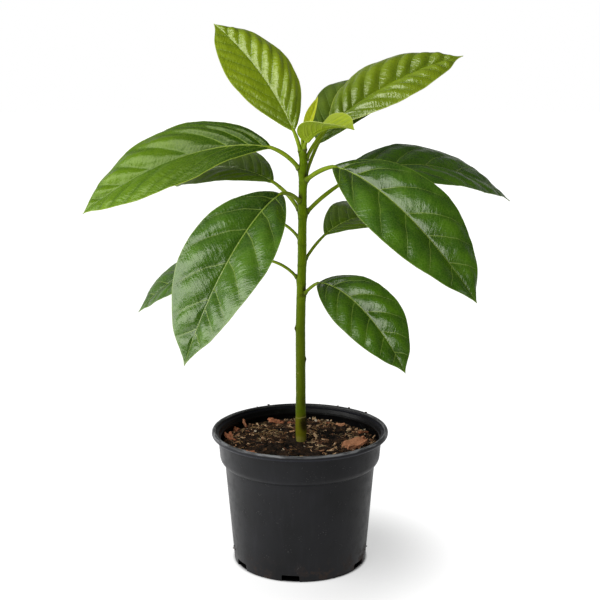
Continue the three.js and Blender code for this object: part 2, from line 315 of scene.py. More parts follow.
studio = {
    "eye": (0, -1.150, 0.502),
    "tilt": 77.95,
    "lens": 74.76,
    # the soft box: place, what it faces, width, height, power, and its lean towards the front
    "keyBox": ((-1.11, -0.80, 1.15), (0, 0, 0.33), 2.8, 1.25, 27.0, 19),
    # light of the room on its left and right, what the low backdrop adds, and an even fill
    "room": (0.16, 0.04),
    "backdrop": 0.32,
    "fill": 0.26,
    "floorTone": (0.92, 0.92, 0.92, 1),
    # the floor's own glow: what the camera sees, and what it lends the plant from left and right
    "floorSeen": 1.18,
    "floorLent": (1.3, 0.54),
    # how much of the floor glows near the pot, left and right, and where it grows to all of it
    "glowLeast": (0.72, 0.42),
    "glowGrows": (0.08, 0.20),
    # reach from the middle within which the floor is painted near black, a painted shadow under the
    # pot, and where the glow starts
    "shadowUnderPot": (0.0620, 0.0642),
    "glowStarts": (0.0638, 0.0668),
}


def addSoftBox(name, place, target, width, height, power, lean):
    bpy.ops.object.light_add(type="AREA", location=place)
    box = bpy.context.object
    box.name = name
    box.data.shape = "RECTANGLE"
    box.data.size = width
    box.data.size_y = height
    box.data.energy = power
    facing = (Vector(target) - box.location).to_track_quat("-Z", "Y").to_matrix()
    box.rotation_euler = (facing @ Matrix.Rotation(math.radians(lean), 3, "Z")).to_euler()
    box.visible_camera = False


def makeRoom():
    # a white backdrop low behind the plant, in a room that is dim on the left and dark on the right
    world = bpy.data.worlds.new("whiteRoom")
    world.use_nodes = True
    workOn(world.node_tree)
    x, y, z = axesOf(addNode("TexCoord").outputs["Generated"])
    behind, low = fade(y, 0.2, 0.7), fade(z, 0.1, 0.5, studio["backdrop"], 0)
    lit = timesPlus(behind, low, fade(x, -0.5, 0.5, *studio["room"]))
    path = addNode("LightPath").outputs
    lit = timesPlus(path["Is Diffuse Ray"], studio["fill"], lit)
    background = workTree.nodes["Background"].inputs
    feed(background["Strength"], calc("MAXIMUM", lit, path["Is Camera Ray"]))
    background["Color"].default_value = (1, 1, 1, 1)
    bpy.context.scene.world = world


def makeFloor():
    # pale floor that runs out into the white backdrop
    floor = added(bpy.ops.mesh.primitive_plane_add, size=14)
    floor.name = "floor"
    material = newMaterial("pale_floor")
    skin = workTree.nodes["Principled BSDF"]
    place = objectPoint()
    away, toRight = lengthOf(place), axesOf(place)[0]
    least = fade(toRight, -0.07, 0.08, *studio["glowLeast"])
    glow = fade(away, *studio["glowGrows"], least)
    glow = times(glow, fade(away, *studio["glowStarts"]))
    # painted shadow: the floor under the pot is painted near black
    tone = blend(fade(away, *studio["shadowUnderPot"]), (0.004, 0.004, 0.004, 1), studio["floorTone"])
    feed(skin.inputs["Base Color"], tone)
    skin.inputs["Roughness"].default_value = 0.7
    skin.inputs["Specular IOR Level"].default_value = 0.1
    seen = addNode("LightPath").outputs["Is Camera Ray"]
    lent = fade(toRight, -0.5, 0.5, *studio["floorLent"])
    white = addNode("Emission", {"Strength": fade(seen, 0, 1, lent, studio["floorSeen"])})
    mixed = addNode("MixShader", {0: glow, 1: skin.outputs[0], 2: white.outputs[0]})
    feed(workTree.nodes["Material Output"].inputs["Surface"], mixed.outputs[0])
    floor.data.materials.append(material)


def makeStudio():
    tilt = math.radians(studio["tilt"])
    bpy.ops.object.camera_add(location=studio["eye"], rotation=(tilt, 0, 0))
    camera = bpy.context.object
    camera.data.lens = studio["lens"]
    camera.data.sensor_width = 36
    bpy.context.scene.camera = camera
    addSoftBox("keyBox", *studio["keyBox"])
    makeRoom()
    makeFloor()
    bpy.context.scene.view_settings.view_transform = "Standard"


makeStudio()
print("studio ready")


# shared shader groups

def makeMottle():
    # uneven tone: broad clouds with finer blotches inside them
    vector, size = newGroup("mottle", {"Vector": None, "Size": 0.02})
    scale = calc("DIVIDE", 1.0, size)
    broad = noiseValue(vector, scale, 2.0, 0.5)
    fine = noiseValue(vector, times(scale, 5.0), 4.0, 0.65)
    results = {"Clouds": fade(broad, 0.32, 0.68), "Blotches": fade(fine, 0.4, 0.7)}
    return closeGroup(results)


def makeGrit():
    # fine dirt: specks, and a grain for the bump
    vector, size = newGroup("grit", {"Vector": None, "Size": 0.002})
    scale = calc("DIVIDE", 1.0, size)
    cells = addNode("TexVoronoi", {"Vector": vector, "Scale": scale}).outputs["Distance"]
    specks = fade(cells, 0.16, 0.3, 1, 0)
    return closeGroup({"Specks": specks, "Grain": noiseValue(vector, scale, 4.0, 0.7)})


def makeLeafVeins():
    # reads what each blade carries: the numbered place between two side veins for either half,
    # their spacing, the distance to the margin, and the blade's own flat map in metres
    veinWidth, netSize = newGroup("leafVeins", {"Vein Width": 0.0005, "Net Size": 0.0022})
    flat = addNode("UVMap", uv_map="bladeMap").outputs[0]
    onward, sideways = axesOf(flat)[:2]
    across = calc("ABSOLUTE", sideways)
    onRight = calc("GREATER_THAN", sideways, 0)
    ownHalf = []
    for name in ("veins", "step"):
        left, right = readAttribute(name + "Left"), readAttribute(name + "Right")
        ownHalf.append(timesPlus(calc("SUBTRACT", right, left), onRight, left))
    wobble = calc("SUBTRACT", noiseValue(flat, 60.0, 2.0), 0.5)
    phase = timesPlus(wobble, 0.12, ownHalf[0])
    away = times(calc("PINGPONG", phase, 0.5), ownHalf[1])
    spread = readAttribute("spread")
    width = times(veinWidth, fade(spread, 0, 1, 1, 0.3))
    vein = fade(calc("DIVIDE", away, width), 0.35, 0.85, 1, 0)
    ribWidth = times(fade(readAttribute("along"), 0, 1, 1, 0.25), 0.0008)
    netScale = calc("DIVIDE", 1.0, netSize)
    cells = addNode("TexVoronoi", {"Vector": flat, "Scale": netScale}, feature="DISTANCE_TO_EDGE")
    # fine wrinkles that cross from vein to vein
    onward = timesPlus(onward, 0.77, times(across, 0.64))
    ladder = fromAxes(times(phase, 0.0035), onward)
    return closeGroup({
        "Vein": times(vein, fade(spread, 0.8, 0.97, 1, 0)),
        "Rib": fade(calc("DIVIDE", across, ribWidth), 0.45, 0.75, 1, 0),
        "Net": fade(cells.outputs["Distance"], 0, 0.16, 1, 0),
        "Margin": fade(readAttribute("rim"), 0.0003, 0.0010, 1, 0),
        "Ripple": fade(noiseValue(ladder, 430.0, 2.0, 0.6, 0.3), 0.36, 0.64),
        "Near Vein": fade(away, 0, 0.005, 1, 0),
        "Near Rib": fade(across, 0, 0.02, 1, 0),
    })


mottle = makeMottle()
grit = makeGrit()
leafVeins = makeLeafVeins()


# pot

pot = {
    "height": 0.130,
    "lipRadius": 0.085,
    "lipHeight": 0.005,
    "collarTopRadius": 0.0788,
    "collarFootRadius": 0.0772,
    "collarFootZ": 0.1045,
    "shoulderZ": 0.0975,
    "bodyTopRadius": 0.0724,
    "footRadius": 0.0642,
    "wall": 0.0015,
    "floorZ": 0.005,
    "floorThickness": 0.0016,
    "skirtDepth": 0.0022,
    "bossRadius": 0.026,
    "bossSlope": 0.003,
    # the step under the collar, as shares of its width and height
    "step": ((0, 0), (0.08, 0.06), (0.25, 0.13), (0.45, 0.22),
             (0.66, 0.38), (0.84, 0.6), (0.96, 0.84), (1, 1)),
    # the rolled lip's section: millimetres inwards and down from its widest and highest
    "lip": ((2.2, 5.4), (1.2, 5.1), (0.3, 4.1), (0.02, 3.2), (0, 2.3), (0.25, 1.3), (0.8, 0.5),
            (1.5, 0.08), (2.2, 0), (2.9, 0.1), (3.5, 0.5), (3.9, 1.2), (4.15, 2.2), (4.4, 3.1),
            (5.2, 3.6)),
    "sides": 144,
    # notches in the foot: width, height and cut through it, their bearings, and one small nick
    "notch": (0.017, 0.0064),
    "notchCut": 0.006,
    "notches": (-60, -8, 61, 116, 172, 240),
    "nick": (34, 0.0032, 0.0016),
    "drainRadius": 0.005,
    "drainRing": 0.050,
    "drains": 6,
    # the moulding is never quite true: size, waves around, start, and turn with the height
    "waves": ((0.00022, 2, 0.6, 0), (0.00012, 5, 2.0, 30)),
    "drawnIn": 0.0002,
    "edge": 0.0003,
}


def potBodyRadius(z):
    return float(np.interp(z, (0, pot["shoulderZ"]), (pot["footRadius"], pot["bodyTopRadius"])))


def potRings():
    # the wall's section as radius and height: from under the middle, up outside and down inside
    boss, foot, body, wall = pot["bossRadius"], pot["footRadius"], pot["bodyTopRadius"], pot["wall"]
    collar, collarZ, shoulder = pot["collarFootRadius"], pot["collarFootZ"], pot["shoulderZ"]
    top = pot["collarTopRadius"]
    skirt, inner = foot - pot["skirtDepth"], top - wall
    lipFoot, floorTop = pot["height"] - pot["lipHeight"], pot["floorZ"] + pot["floorThickness"]
    rings = [
        (boss, 0), (boss + pot["bossSlope"], pot["floorZ"]), (skirt, pot["floorZ"]),
        (skirt, 0.0003), (foot - 0.0018, 0), (foot - 0.0004, 0), (foot, 0.0004),
    ]
    rings += [(potBodyRadius(z), z) for z in np.linspace(0.007, shoulder - 0.0015, 12)]
    out, up = collar - body, collarZ - shoulder
    rings += [(body + out * x, shoulder + up * z) for x, z in pot["step"]]
    rings += [
        (collar + 0.0005, 0.1105), (collar + 0.001, 0.1165), (top - 0.0001, 0.1215),
        (top, lipFoot - 0.0012), (top + 0.0006, lipFoot - 0.0003), (top + 0.0024, lipFoot - 0.0005),
    ]
    rings += [(pot["lipRadius"] - x * 0.001, pot["height"] - z * 0.001) for x, z in pot["lip"]]
    return rings + [
        (inner + 0.0009, 0.1262), (inner + 0.0003, 0.1226), (inner - 0.0007, 0.1222),
        (inner - 0.0009, 0.1208), (inner - 0.0002, 0.1202), (inner - 0.0004, 0.112),
        (collar - wall, collarZ), (body - wall, shoulder),
        (potBodyRadius(0.05) - wall, 0.05), (potBodyRadius(floorTop) - wall, floorTop),
        (boss + 0.002, floorTop), (boss - 0.001, pot["floorThickness"]),
    ]


def cutAway(piece, cutters):
    cutter = joinUp("cutter", cutters)
    cleanUp(cutter)
    modify(piece, "BOOLEAN", operation="DIFFERENCE", solver="EXACT", object=cutter)
    bpy.data.objects.remove(cutter)


def notchCutter(bearing, width, height):
    # a block with its two upper edges rounded, set through the foot
    cutter = added(bpy.ops.mesh.primitive_cube_add, size=1)
    openMesh()
    bpy.ops.transform.resize(value=(width, pot["notchCut"], height * 2))
    bpy.ops.mesh.select_all(action="DESELECT")
    closeMesh()
    for edge in cutter.data.edges:
        a, b = (cutter.data.vertices[k].co for k in edge.vertices)
        edge.select = a.z > 0 and b.z > 0 and abs(a.x - b.x) < 1e-6
    bpy.ops.object.mode_set(mode="EDIT")
    bpy.ops.mesh.bevel(offset=min(width, height) * 0.22, segments=3)
    bpy.ops.mesh.select_all(action="SELECT")
    bpy.ops.transform.translate(value=(0, -pot["footRadius"], 0))
    closeMesh()
    cutter.data.transform(Matrix.Rotation(math.radians(bearing), 4, "Z"))
    return cutter


def drainCutter(bearing):
    place = (math.sin(bearing) * pot["drainRing"], -math.cos(bearing) * pot["drainRing"], 0.006)
    cylinder = bpy.ops.mesh.primitive_cylinder_add
    cutter = added(cylinder, vertices=28, radius=pot["drainRadius"], depth=0.008, location=place)
    bpy.ops.object.transform_apply(location=True)
    return cutter


def makePot(material):
    rings = potRings()
    circle = bpy.ops.mesh.primitive_circle_add
    piece = rename(added(circle, vertices=pot["sides"], radius=rings[0][0]), "nursery_pot")
    openMesh()
    for (radius, z), (nextRadius, nextZ) in zip(rings, rings[1:]):
        bpy.ops.mesh.extrude_region_move()
        grow = nextRadius / radius
        bpy.ops.transform.resize(value=(grow, grow, 1), center_override=(0, 0, z))
        bpy.ops.transform.translate(value=(0, 0, nextZ - z))
    bpy.ops.mesh.edge_face_add()
    bpy.ops.mesh.select_all(action="DESELECT")
    closeMesh()
    for vertex in piece.data.vertices[:pot["sides"]]:
        vertex.select = True
    bpy.ops.object.mode_set(mode="EDIT")
    bpy.ops.mesh.select_mode(type="VERT")
    bpy.ops.mesh.edge_face_add()
    closeMesh()
    cleanUp(piece)
    notches = [(bearing, *pot["notch"]) for bearing in pot["notches"]]
    cutAway(piece, [notchCutter(*notch) for notch in notches + [pot["nick"]]])
    apart = 360 / pot["drains"]
    cutAway(piece, [drainCutter(math.radians(30 + apart * k)) for k in range(pot["drains"])])
    points = readPoints(piece)
    x, y, z = points.T
    around, reach = np.arctan2(y, x), np.hypot(x, y)
    wave = sum(a * np.sin(n * around + start + z * turn) for a, n, start, turn in pot["waves"])
    wave = (wave - pot["drawnIn"]) * ramp(z, 0.004, 0.06) * ramp(reach, 0.05, 0.07)
    points[:, :2] *= (1 + wave / np.maximum(reach, 0.01))[:, None]
    writePoints(piece, points)
    sharp = math.radians(50)
    modify(piece, "BEVEL", width=pot["edge"], segments=2, limit_method="ANGLE", angle_limit=sharp)
    cleanUp(piece, 1e-7)
    # inside is what lies more than a wall's thickness within the outer face
    x, y, z = readPoints(piece).T
    levels = (0, pot["shoulderZ"], pot["collarFootZ"], 0.1246, 0.1262)
    reaches = (pot["footRadius"], pot["bodyTopRadius"], pot["collarFootRadius"],
               pot["collarTopRadius"], 0.0805)
    depth = np.interp(z, levels, reaches) - np.hypot(x, y)
    writeAttributes(piece, inside=ramp(depth, 0.0008, 0.0012) * (z > 0.0004) * (z < 0.1268))
    smooth(piece, 32)
    finishPiece(piece, ["pot"], material)


potLook = {
    "plastic": (7, 8, 11),
    "scuffsAndSheen": (148, 149, 152),
    "blue": (24, 25, 36),
    "dirt": (60, 46, 37),
    "dust": (40, 40, 46),
    "insideShade": (8, 7, 7),
    "specks": (96, 95, 94),
    "roughness": 0.35,
}


def makePotPlastic():
    material = newMaterial("charcoal_plastic")
    place = objectPoint()
    x, y, z = axesOf(place)
    clouds, blotches = useGroup(mottle, place, 0.05)
    specks, grain = useGroup(grit, place, 0.0016)
    streaks = noiseValue(stretched(place, 0.12), 160.0, 4.0, 0.6)
    # pale scuffs run along the crown of the lip, with painted sheen: paler at the front than at the
    # back
    reach = lengthOf(stretched(place, 0))
    band = fromAxes(times(calc("ARCTAN2", y, x), 0.012), reach, z)
    scratch = noiseValue(band, 420.0, 4.0, 0.65, 0.4)
    lip = times(fade(z, 0.1276, 0.1294), fade(y, 0.02, 0.07, 0.85, 0.25))
    # soil splashes low on the skirt and inside
    splash = times(fade(z, 0.003, 0.026, 1, 0), clouds, fade(blotches, 0.1, 0.7))
    colour = coat(
        potLook["plastic"],
        (potLook["dust"], clouds, 0.22),
        (potLook["dust"], fade(streaks, 0.5, 0.75), 0.20),
        # pale scuffs and painted sheen on the lip, stronger at the front
        (potLook["scuffsAndSheen"], lip, fade(scratch, 0.40, 0.62, 0.20, 0.95)),
        (potLook["blue"], fade(z, 0.1246, 0.1258), fade(z, 0.1276, 0.1266), 0.8),
        # painted shade: the inside of the pot is painted near black, over the dust
        (potLook["insideShade"], readAttribute("inside"), 0.92),
        (potLook["dirt"], splash, 0.8),
        (potLook["specks"], specks, fade(blotches, 0.55, 0.95), 0.4),
    )
    gloss = timesPlus(splash, 0.3, timesPlus(blotches, 0.12, potLook["roughness"]))
    return dress(material, colour, gloss, (timesPlus(scratch, 0.4, grain), 0.18, 0.00025), 0.27)


makePot(makePotPlastic())
print("pot made")


# potting soil and what lies in it

soil = {
    # radius and height: the level top from the middle out, then down the side and in under it
    "top": ((0, 0.1175), (0.010, 0.1175), (0.022, 0.1183), (0.042, 0.1188),
            (0.0637, 0.1176), (0.0762, 0.1152)),
    "below": ((0.0754, 0.1055), (0.0706, 0.0972), (0.0632, 0.0069), (0.0277, 0.0069),
              (0.0247, 0.0019), (0, 0.0019)),
    "topShare": 0.8,
    "lumps": 0.0024,
    "crumbs": 0.0012,
    # dark hollows: x, y, reach, depth
    "hollows": ((0.0135, 0.013, 0.0065, 0.0045), (-0.009, -0.020, 0.010, 0.0022),
                (0.030, 0.016, 0.010, 0.0020)),
    # loose bits lie between the stem and the wall, and hardly any at the bare place: x, y, reaches
    "stemClear": 0.0095,
    "wallClear": 0.0765,
    "bare": (-0.018, -0.035, 0.026, 0.022),
    "seed": 4,
}
dice = random.Random(soil["seed"])


def soilHeight(x, y):
    # height of the loose surface, lumps and all
    reach = np.hypot(x, y)
    level = np.interp(reach, *zip(*soil["top"]))
    at = np.stack([x, y, 0 * x], -1)
    lumps = rough(at, 75, 3, 1.0) * soil["lumps"] + rough(at, 330, 3, 2.0) * soil["crumbs"]
    calm = ramp(reach, 0.006, 0.014) * (1 - 0.6 * ramp(reach, 0.070, 0.0762))
    for left, back, wide, deep in soil["hollows"]:
        lumps = lumps - deep * np.exp(-((x - left) ** 2 + (y - back) ** 2) / wide ** 2)
    return level + lumps * calm


def makeSoil(material):
    piece, turn, walk = flatGrid("potting_mix", 210, 150)
    radii, heights = zip(*soil["top"])
    share = soil["topShare"]
    isTop = walk <= share + 1e-6
    lower = np.array(soil["top"][-1:] + soil["below"])
    knots = np.linspace(share, 1, len(lower))
    reach = np.interp(walk / share, (0, 1), (0, radii[-1]))
    reach = np.where(isTop, reach, np.interp(walk, knots, lower[:, 0]))
    angle = 2 * np.pi * turn
    x, y = reach * np.cos(angle), reach * np.sin(angle)
    z = np.where(isTop, soilHeight(x, y), np.interp(walk, knots, lower[:, 1]))
    writePoints(piece, np.stack([x, y, z], -1))
    writeAttributes(piece, lift=np.where(isTop, (z - np.interp(reach, radii, heights)) / 0.002, 0))
    cleanUp(piece, 2e-6)
    smooth(piece)
    finishPiece(piece, ["potting_soil"], material)


def crumbMaterial(name, roughness, size, depth, *tones):
    # loose bits: each one takes its own tone between the given ones, and is grainy
    material = newMaterial(name)
    place = objectPoint()
    bands = addNode("ValToRGB", {0: addNode("NewGeometry").outputs["Random Per Island"]})
    elements = bands.color_ramp.elements
    while len(elements) < len(tones):
        elements.new(0.5)
    for k, tone in enumerate(tones):
        elements[k].position = k / (len(tones) - 1)
        elements[k].color = paint(*tone)
    own = bands.outputs[0]
    blotches = useGroup(mottle, place, size * 3)["Blotches"]
    grain = useGroup(grit, place, size)["Grain"]
    colour = coat(own, (blend(1, own, (0.45, 0.4, 0.38, 1), "MULTIPLY"), blotches, 0.75))
    return dress(material, colour, roughness, (grain, 0.7, depth), 0.25)


def makeSoilMaterial():
    material = newMaterial("damp_potting_mix")
    place = objectPoint()
    clouds, blotches = useGroup(mottle, place, 0.008)
    specks, grain = useGroup(grit, place, 0.0011)
    colour = coat(
        (16, 11, 8), ((46, 32, 21), clouds), ((72, 49, 31), blotches, 0.6),
        # painted shade: the lower places of the soil's surface are painted near black
        ((11, 8, 6), fade(readAttribute("lift"), -0.7, 0.1, 0.92, 0)),
        ((140, 110, 72), specks, fade(blotches, 0.5, 1), 0.5),
    )
    return dress(material, colour, 0.92, (grain, 0.9, 0.0009), 0.2)


makeSoil(makeSoilMaterial())


def flake(seed, cuts=3, relief=0.07):
    # a torn flake of bark: a slab with ragged ends, about one unit long
    piece = added(bpy.ops.mesh.primitive_cube_add, size=1)
    openMesh()
    bpy.ops.transform.resize(value=(1, 0.46, 0.16))
    bpy.ops.mesh.subdivide(number_cuts=cuts)
    closeMesh()
    points = readPoints(piece)
    grain = rough(points * (1, 3, 3), 2.1, 3, seed)
    ends = rough(points * (0.3, 4, 1), 2.4, 2, seed + 9)
    points[:, 0] += ends * 0.24 * np.abs(points[:, 0]) * 2
    points[:, 1] *= 1 - 0.5 * np.abs(points[:, 0]) ** 1.5 + 0.3 * grain
    points[:, 2] += relief * grain + 0.12 * points[:, 0] ** 2 + 0.25 * points[:, 1] ** 2
    writePoints(piece, points)
    return piece


def pebble(seed):
    # an uneven grain, about one unit across
    piece = added(bpy.ops.mesh.primitive_ico_sphere_add, subdivisions=1, radius=0.5)
    points = readPoints(piece)
    points *= (1 + 0.45 * rough(points, 2.3, 2, seed))[:, None]
    points[:, 2] *= 0.8
    writePoints(piece, points)
    return piece


def thread(seed):
    # a short curly fibre, about one unit long
    piece, turn, walk = flatGrid("thread", 3, 9)
    rng = random.Random(seed)
    bendA, bendB, lift = rng.uniform(-0.5, 0.5), rng.uniform(-0.25, 0.25), rng.uniform(0.02, 0.16)
    x = walk - 0.5
    middle = np.stack([x, bendA * x * x + bendB * np.sin(5 * x), lift * np.sin(np.pi * walk)], -1)
    radius = 0.05 * np.sqrt(np.clip(1 - (2 * x) ** 4, 0, 1))
    writePoints(piece, middle + ringAround(turn, radius, np.array((0, 1, 0)), np.array((0, 0, 1))))
    cleanUp(piece, 1e-5)
    return piece


def scatter(name, models, placed, material):
    # copies of the models at [x, y, size, turn, tilt, sink], joined as one piece
    copies = []
    heights = soilHeight(*(np.array([p[k] for p in placed]) for k in (0, 1)))
    for (x, y, size, turn, tilt, sink), z in zip(placed, heights):
        mesh = dice.choice(models).data.copy()
        place = Matrix.Translation((x, y, z - sink * size)) @ Matrix.Rotation(turn, 4, "Z")
        place = place @ Matrix.Rotation(tilt, 4, Vector((dice.uniform(-1, 1), 1, 0)).normalized())
        wide, high = size * dice.uniform(0.75, 1.15), size * dice.uniform(0.8, 1.2)
        mesh.transform(place @ Matrix.Diagonal((size, wide, high, 1)))
        copies.append(bpy.data.objects.new(name, mesh))
        bpy.context.scene.collection.objects.link(copies[-1])
    piece = joinUp(name, copies)
    for model in models:
        bpy.data.objects.remove(model)
    cleanUp(piece, 1e-7)
    smooth(piece, 40)
    finishPiece(piece, (), material)


def anywhere(count, sizes, outer=0.0735, tilt=0.3, sink=0.1, power=1.6, patchy=0.0):
    # random places for loose bits; patchy ones lie in patches
    found = []
    left, back, wide, deep = soil["bare"]
    while len(found) < count:
        x, y = dice.uniform(-outer, outer), dice.uniform(-outer, outer)
        bare = math.exp(-((x - left) / wide) ** 2 - ((y - back) / deep) ** 2)
        thick = 0.5 + 0.9 * noise.noise(Vector((x, y, 0)) * 45) - bare
        reach = math.hypot(x, y)
        if dice.random() < patchy * (1 - thick) or not soil["stemClear"] < reach < outer:
            continue
        size = sizes[0] + (sizes[1] - sizes[0]) * dice.random() ** power
        if reach + size * 0.5 <= soil["wallClear"]:
            found.append((x, y, size, dice.uniform(0, 6.28), dice.uniform(-tilt, tilt), sink))
    return found


mixLook = {
    # each kind of loose bit: its material, roughness, size of grain, relief, and the tones it takes
    "bigBark": ("large_bark_flakes", 0.8, 0.0014, 0.0006, (198, 128, 92), (164, 102, 72),
                (216, 160, 120)),
    "bark": ("bark_flakes", 0.8, 0.0014, 0.0006, (208, 158, 118), (112, 72, 48), (54, 35, 24),
             (230, 194, 152), (150, 102, 70)),
    "crumb": ("dark_crumbs", 0.9, 0.0008, 0.0005, (14, 10, 7), (34, 24, 16), (86, 58, 37),
              (9, 7, 6), (136, 98, 64)),
    "fibre": ("coir_fibres", 0.8, 0.0006, 0.0002, (190, 154, 104), (116, 82, 50), (72, 48, 30),
              (222, 198, 150)),
    "perlite": ("perlite_grains", 0.85, 0.0006, 0.0003, (218, 202, 180), (198, 180, 154),
                (230, 217, 198)),
    # the big flakes that catch the eye: x, y, size, turn, tilt, sink
    "bigFlakes": (
        (0.0525, -0.020, 0.0225, 0.45, -0.25, -0.16), (-0.066, 0.006, 0.019, 2.2, -0.25, 0.0),
        (-0.0240, 0.056, 0.0145, 0.1, 0.3, 0.0), (-0.062, 0.038, 0.012, 1.1, 0.4, 0.0),
        (0.012, -0.066, 0.011, 0.3, 0.1, 0.0), (-0.0070, 0.050, 0.0100, 0.5, 0.35, 0.0),
        (0.062, 0.022, 0.011, 0.9, 0.35, 0.0), (0.038, 0.046, 0.012, 2.9, 0.15, 0.0),
        (-0.050, -0.034, 0.013, 2.7, 0.2, 0.0), (0.030, -0.048, 0.010, 0.6, 0.1, 0.0),
        (-0.055, 0.045, 0.009, 0.4, 1.2, -0.35), (0.0300, 0.050, 0.0080, 0.9, 0.3, 0.0),
    ),
    # pale grains: x, y, size
    "paleGrains": (
        (0.010, 0.071, 0.0022), (0.0162, 0.062, 0.0034), (0.0283, 0.057, 0.003),
        (0.0648, 0.038, 0.0026), (0.0501, -0.0265, 0.0024), (-0.0151, -0.0295, 0.003),
        (0.0043, -0.018, 0.0018), (-0.044, 0.026, 0.003),
    ),
    # a tangle of pale fibres: x, y, spread, count
    "tangle": (-0.031, 0.020, 0.0066, 46),
    # stray crumbs on the lip and in the foot: bearing, reach, height, size
    "stray": (
        (-157, 0.0826, 0.1306, 0.0024), (152, 0.0826, 0.1304, 0.0017),
        (143, 0.0826, 0.1305, 0.0021), (127, 0.0826, 0.1306, 0.0026),
        (-148, 0.0826, 0.1303, 0.0012), (166, 0.0826, 0.1302, 0.0010),
        (-84, 0.0650, 0.0095, 0.0024), (-73, 0.0650, 0.0135, 0.0020), (-77, 0.0649, 0.0150, 0.0026),
        (-80, 0.0649, 0.0120, 0.0018), (83, 0.0650, 0.0120, 0.0024), (78, 0.0650, 0.0165, 0.0018),
        (74, 0.0649, 0.0125, 0.0022), (70, 0.0647, 0.0095, 0.0016), (-5, 0.0636, 0.0062, 0.0012),
    ),
}


def strayCrumbs(material):
    grains = []
    for k, (bearing, reach, height, size) in enumerate(mixLook["stray"]):
        grain = pebble(40 + k)
        out = heading(bearing, 0) * reach
        place = Matrix.Translation((out[0], out[1], height))
        grain.data.transform(place @ Matrix.Diagonal((size * 1.3, size, size * 0.7, 1)))
        grains.append(grain)
    piece = joinUp("stray_crumbs", grains)
    smooth(piece, 40)
    finishPiece(piece, (), material)


def makeMix():
    kinds = ("bark", "crumb", "fibre", "perlite", "bigBark")
    bark, crumb, fibre, perlite, bigBark = (crumbMaterial(*mixLook[kind]) for kind in kinds)
    bigFlakes = [flake(k, 13, 0.12) for k in range(3)]
    scatter("bark_flakes_large", bigFlakes, mixLook["bigFlakes"], bigBark)
    chips = anywhere(430, (0.0022, 0.0085), tilt=0.7, power=1.1, patchy=0.9)
    scatter("bark_flakes", [flake(k + 5) for k in range(4)], chips, bark)
    scatter("soil_crumbs", [pebble(k) for k in range(5)], anywhere(820, (0.0011, 0.0046)), crumb)
    grains = anywhere(30, (0.0008, 0.0020), patchy=0.8)
    grains += [(x, y, size, 0.5, 0.2, -0.25) for x, y, size in mixLook["paleGrains"]]
    scatter("perlite", [pebble(k + 20) for k in range(3)], grains, perlite)
    hairs = anywhere(230, (0.003, 0.0095), outer=0.072, sink=-0.08, patchy=0.9)
    x, y, spread, count = mixLook["tangle"]
    for k in range(count):
        here = x + dice.gauss(0, spread), y + dice.gauss(0, spread)
        hairs.append((*here, dice.uniform(0.004, 0.009), dice.uniform(0, 6.28), 0.2, -0.12))
    scatter("fibres", [thread(k) for k in range(6)], hairs, fibre)
    strayCrumbs(crumb)


makeMix()
print("potting mix made")


# trunk

trunk = {
    # height and place across of the middle, then height and radius
    "axis": ((0.117, 0.0011), (0.150, 0.0007), (0.230, 0.0004), (0.255, 0.0009),
             (0.285, 0.0017), (0.330, 0.0022), (0.385, 0.0028), (0.400, 0.0027)),
    "taper": ((0.1165, 0.0046), (0.121, 0.0050), (0.128, 0.0053), (0.1405, 0.0052),
              (0.1425, 0.0050), (0.165, 0.0047), (0.230, 0.0046), (0.270, 0.0043), (0.350, 0.00395),
              (0.384, 0.0035), (0.391, 0.0029), (0.398, 0.0022)),
    "foot": 0.112,
    "top": 0.3992,
    "crown": 0.0016,
    # height, bearing, how far it stands out, reach
    "knobs": ((0.229, -90, 0.0012, 0.0024), (0.199, 85, 0.0011, 0.0024)),
    # brown marks: height, bearing, half height, half width in degrees, strength
    "marks": ((0.1360, 46, 0.0090, 70, 1.0), (0.229, -90, 0.003, 40, 0.8),
              (0.199, 85, 0.003, 40, 0.9), (0.262, 20, 0.0022, 50, 0.55),
              (0.158, 40, 0.006, 40, 0.35), (0.213, -40, 0.0006, 8, 0.5)),
    # pale scars, likewise
    "scars": ((0.1422, 60, 0.0007, 75, 0.9), (0.1416, -40, 0.0006, 60, 0.5),
              (0.186, -32, 0.0007, 9, 0.9), (0.167, -50, 0.0008, 8, 0.9),
              (0.1190, -20, 0.0050, 100, 0.3)),
    # cushion under each stalk: its share of the stalk's radius, and its reach down, up and sideways
    "cushion": (0.62, 0.0055, 0.0024, 0.0029),
    # faint ring at each node: how far below the joint, its tilt, how proud, and its half height
    "ring": (0.0042, 0.0016, 0.00016, 0.0013),
    "ridges": 0.00013,
    "pits": 0.00010,
    # the dark bud above each stalk: slope, length, radius
    "bud": (68, 0.0032, 0.00085),
}


def stemCentre(z):
    return np.stack([np.interp(z, *zip(*trunk["axis"])), 0 * z, z], -1)


def stemRadius(z):
    return np.interp(z, *zip(*trunk["taper"]))


def degreesApart(a, b):
    return np.abs((a - b + 180) % 360 - 180)


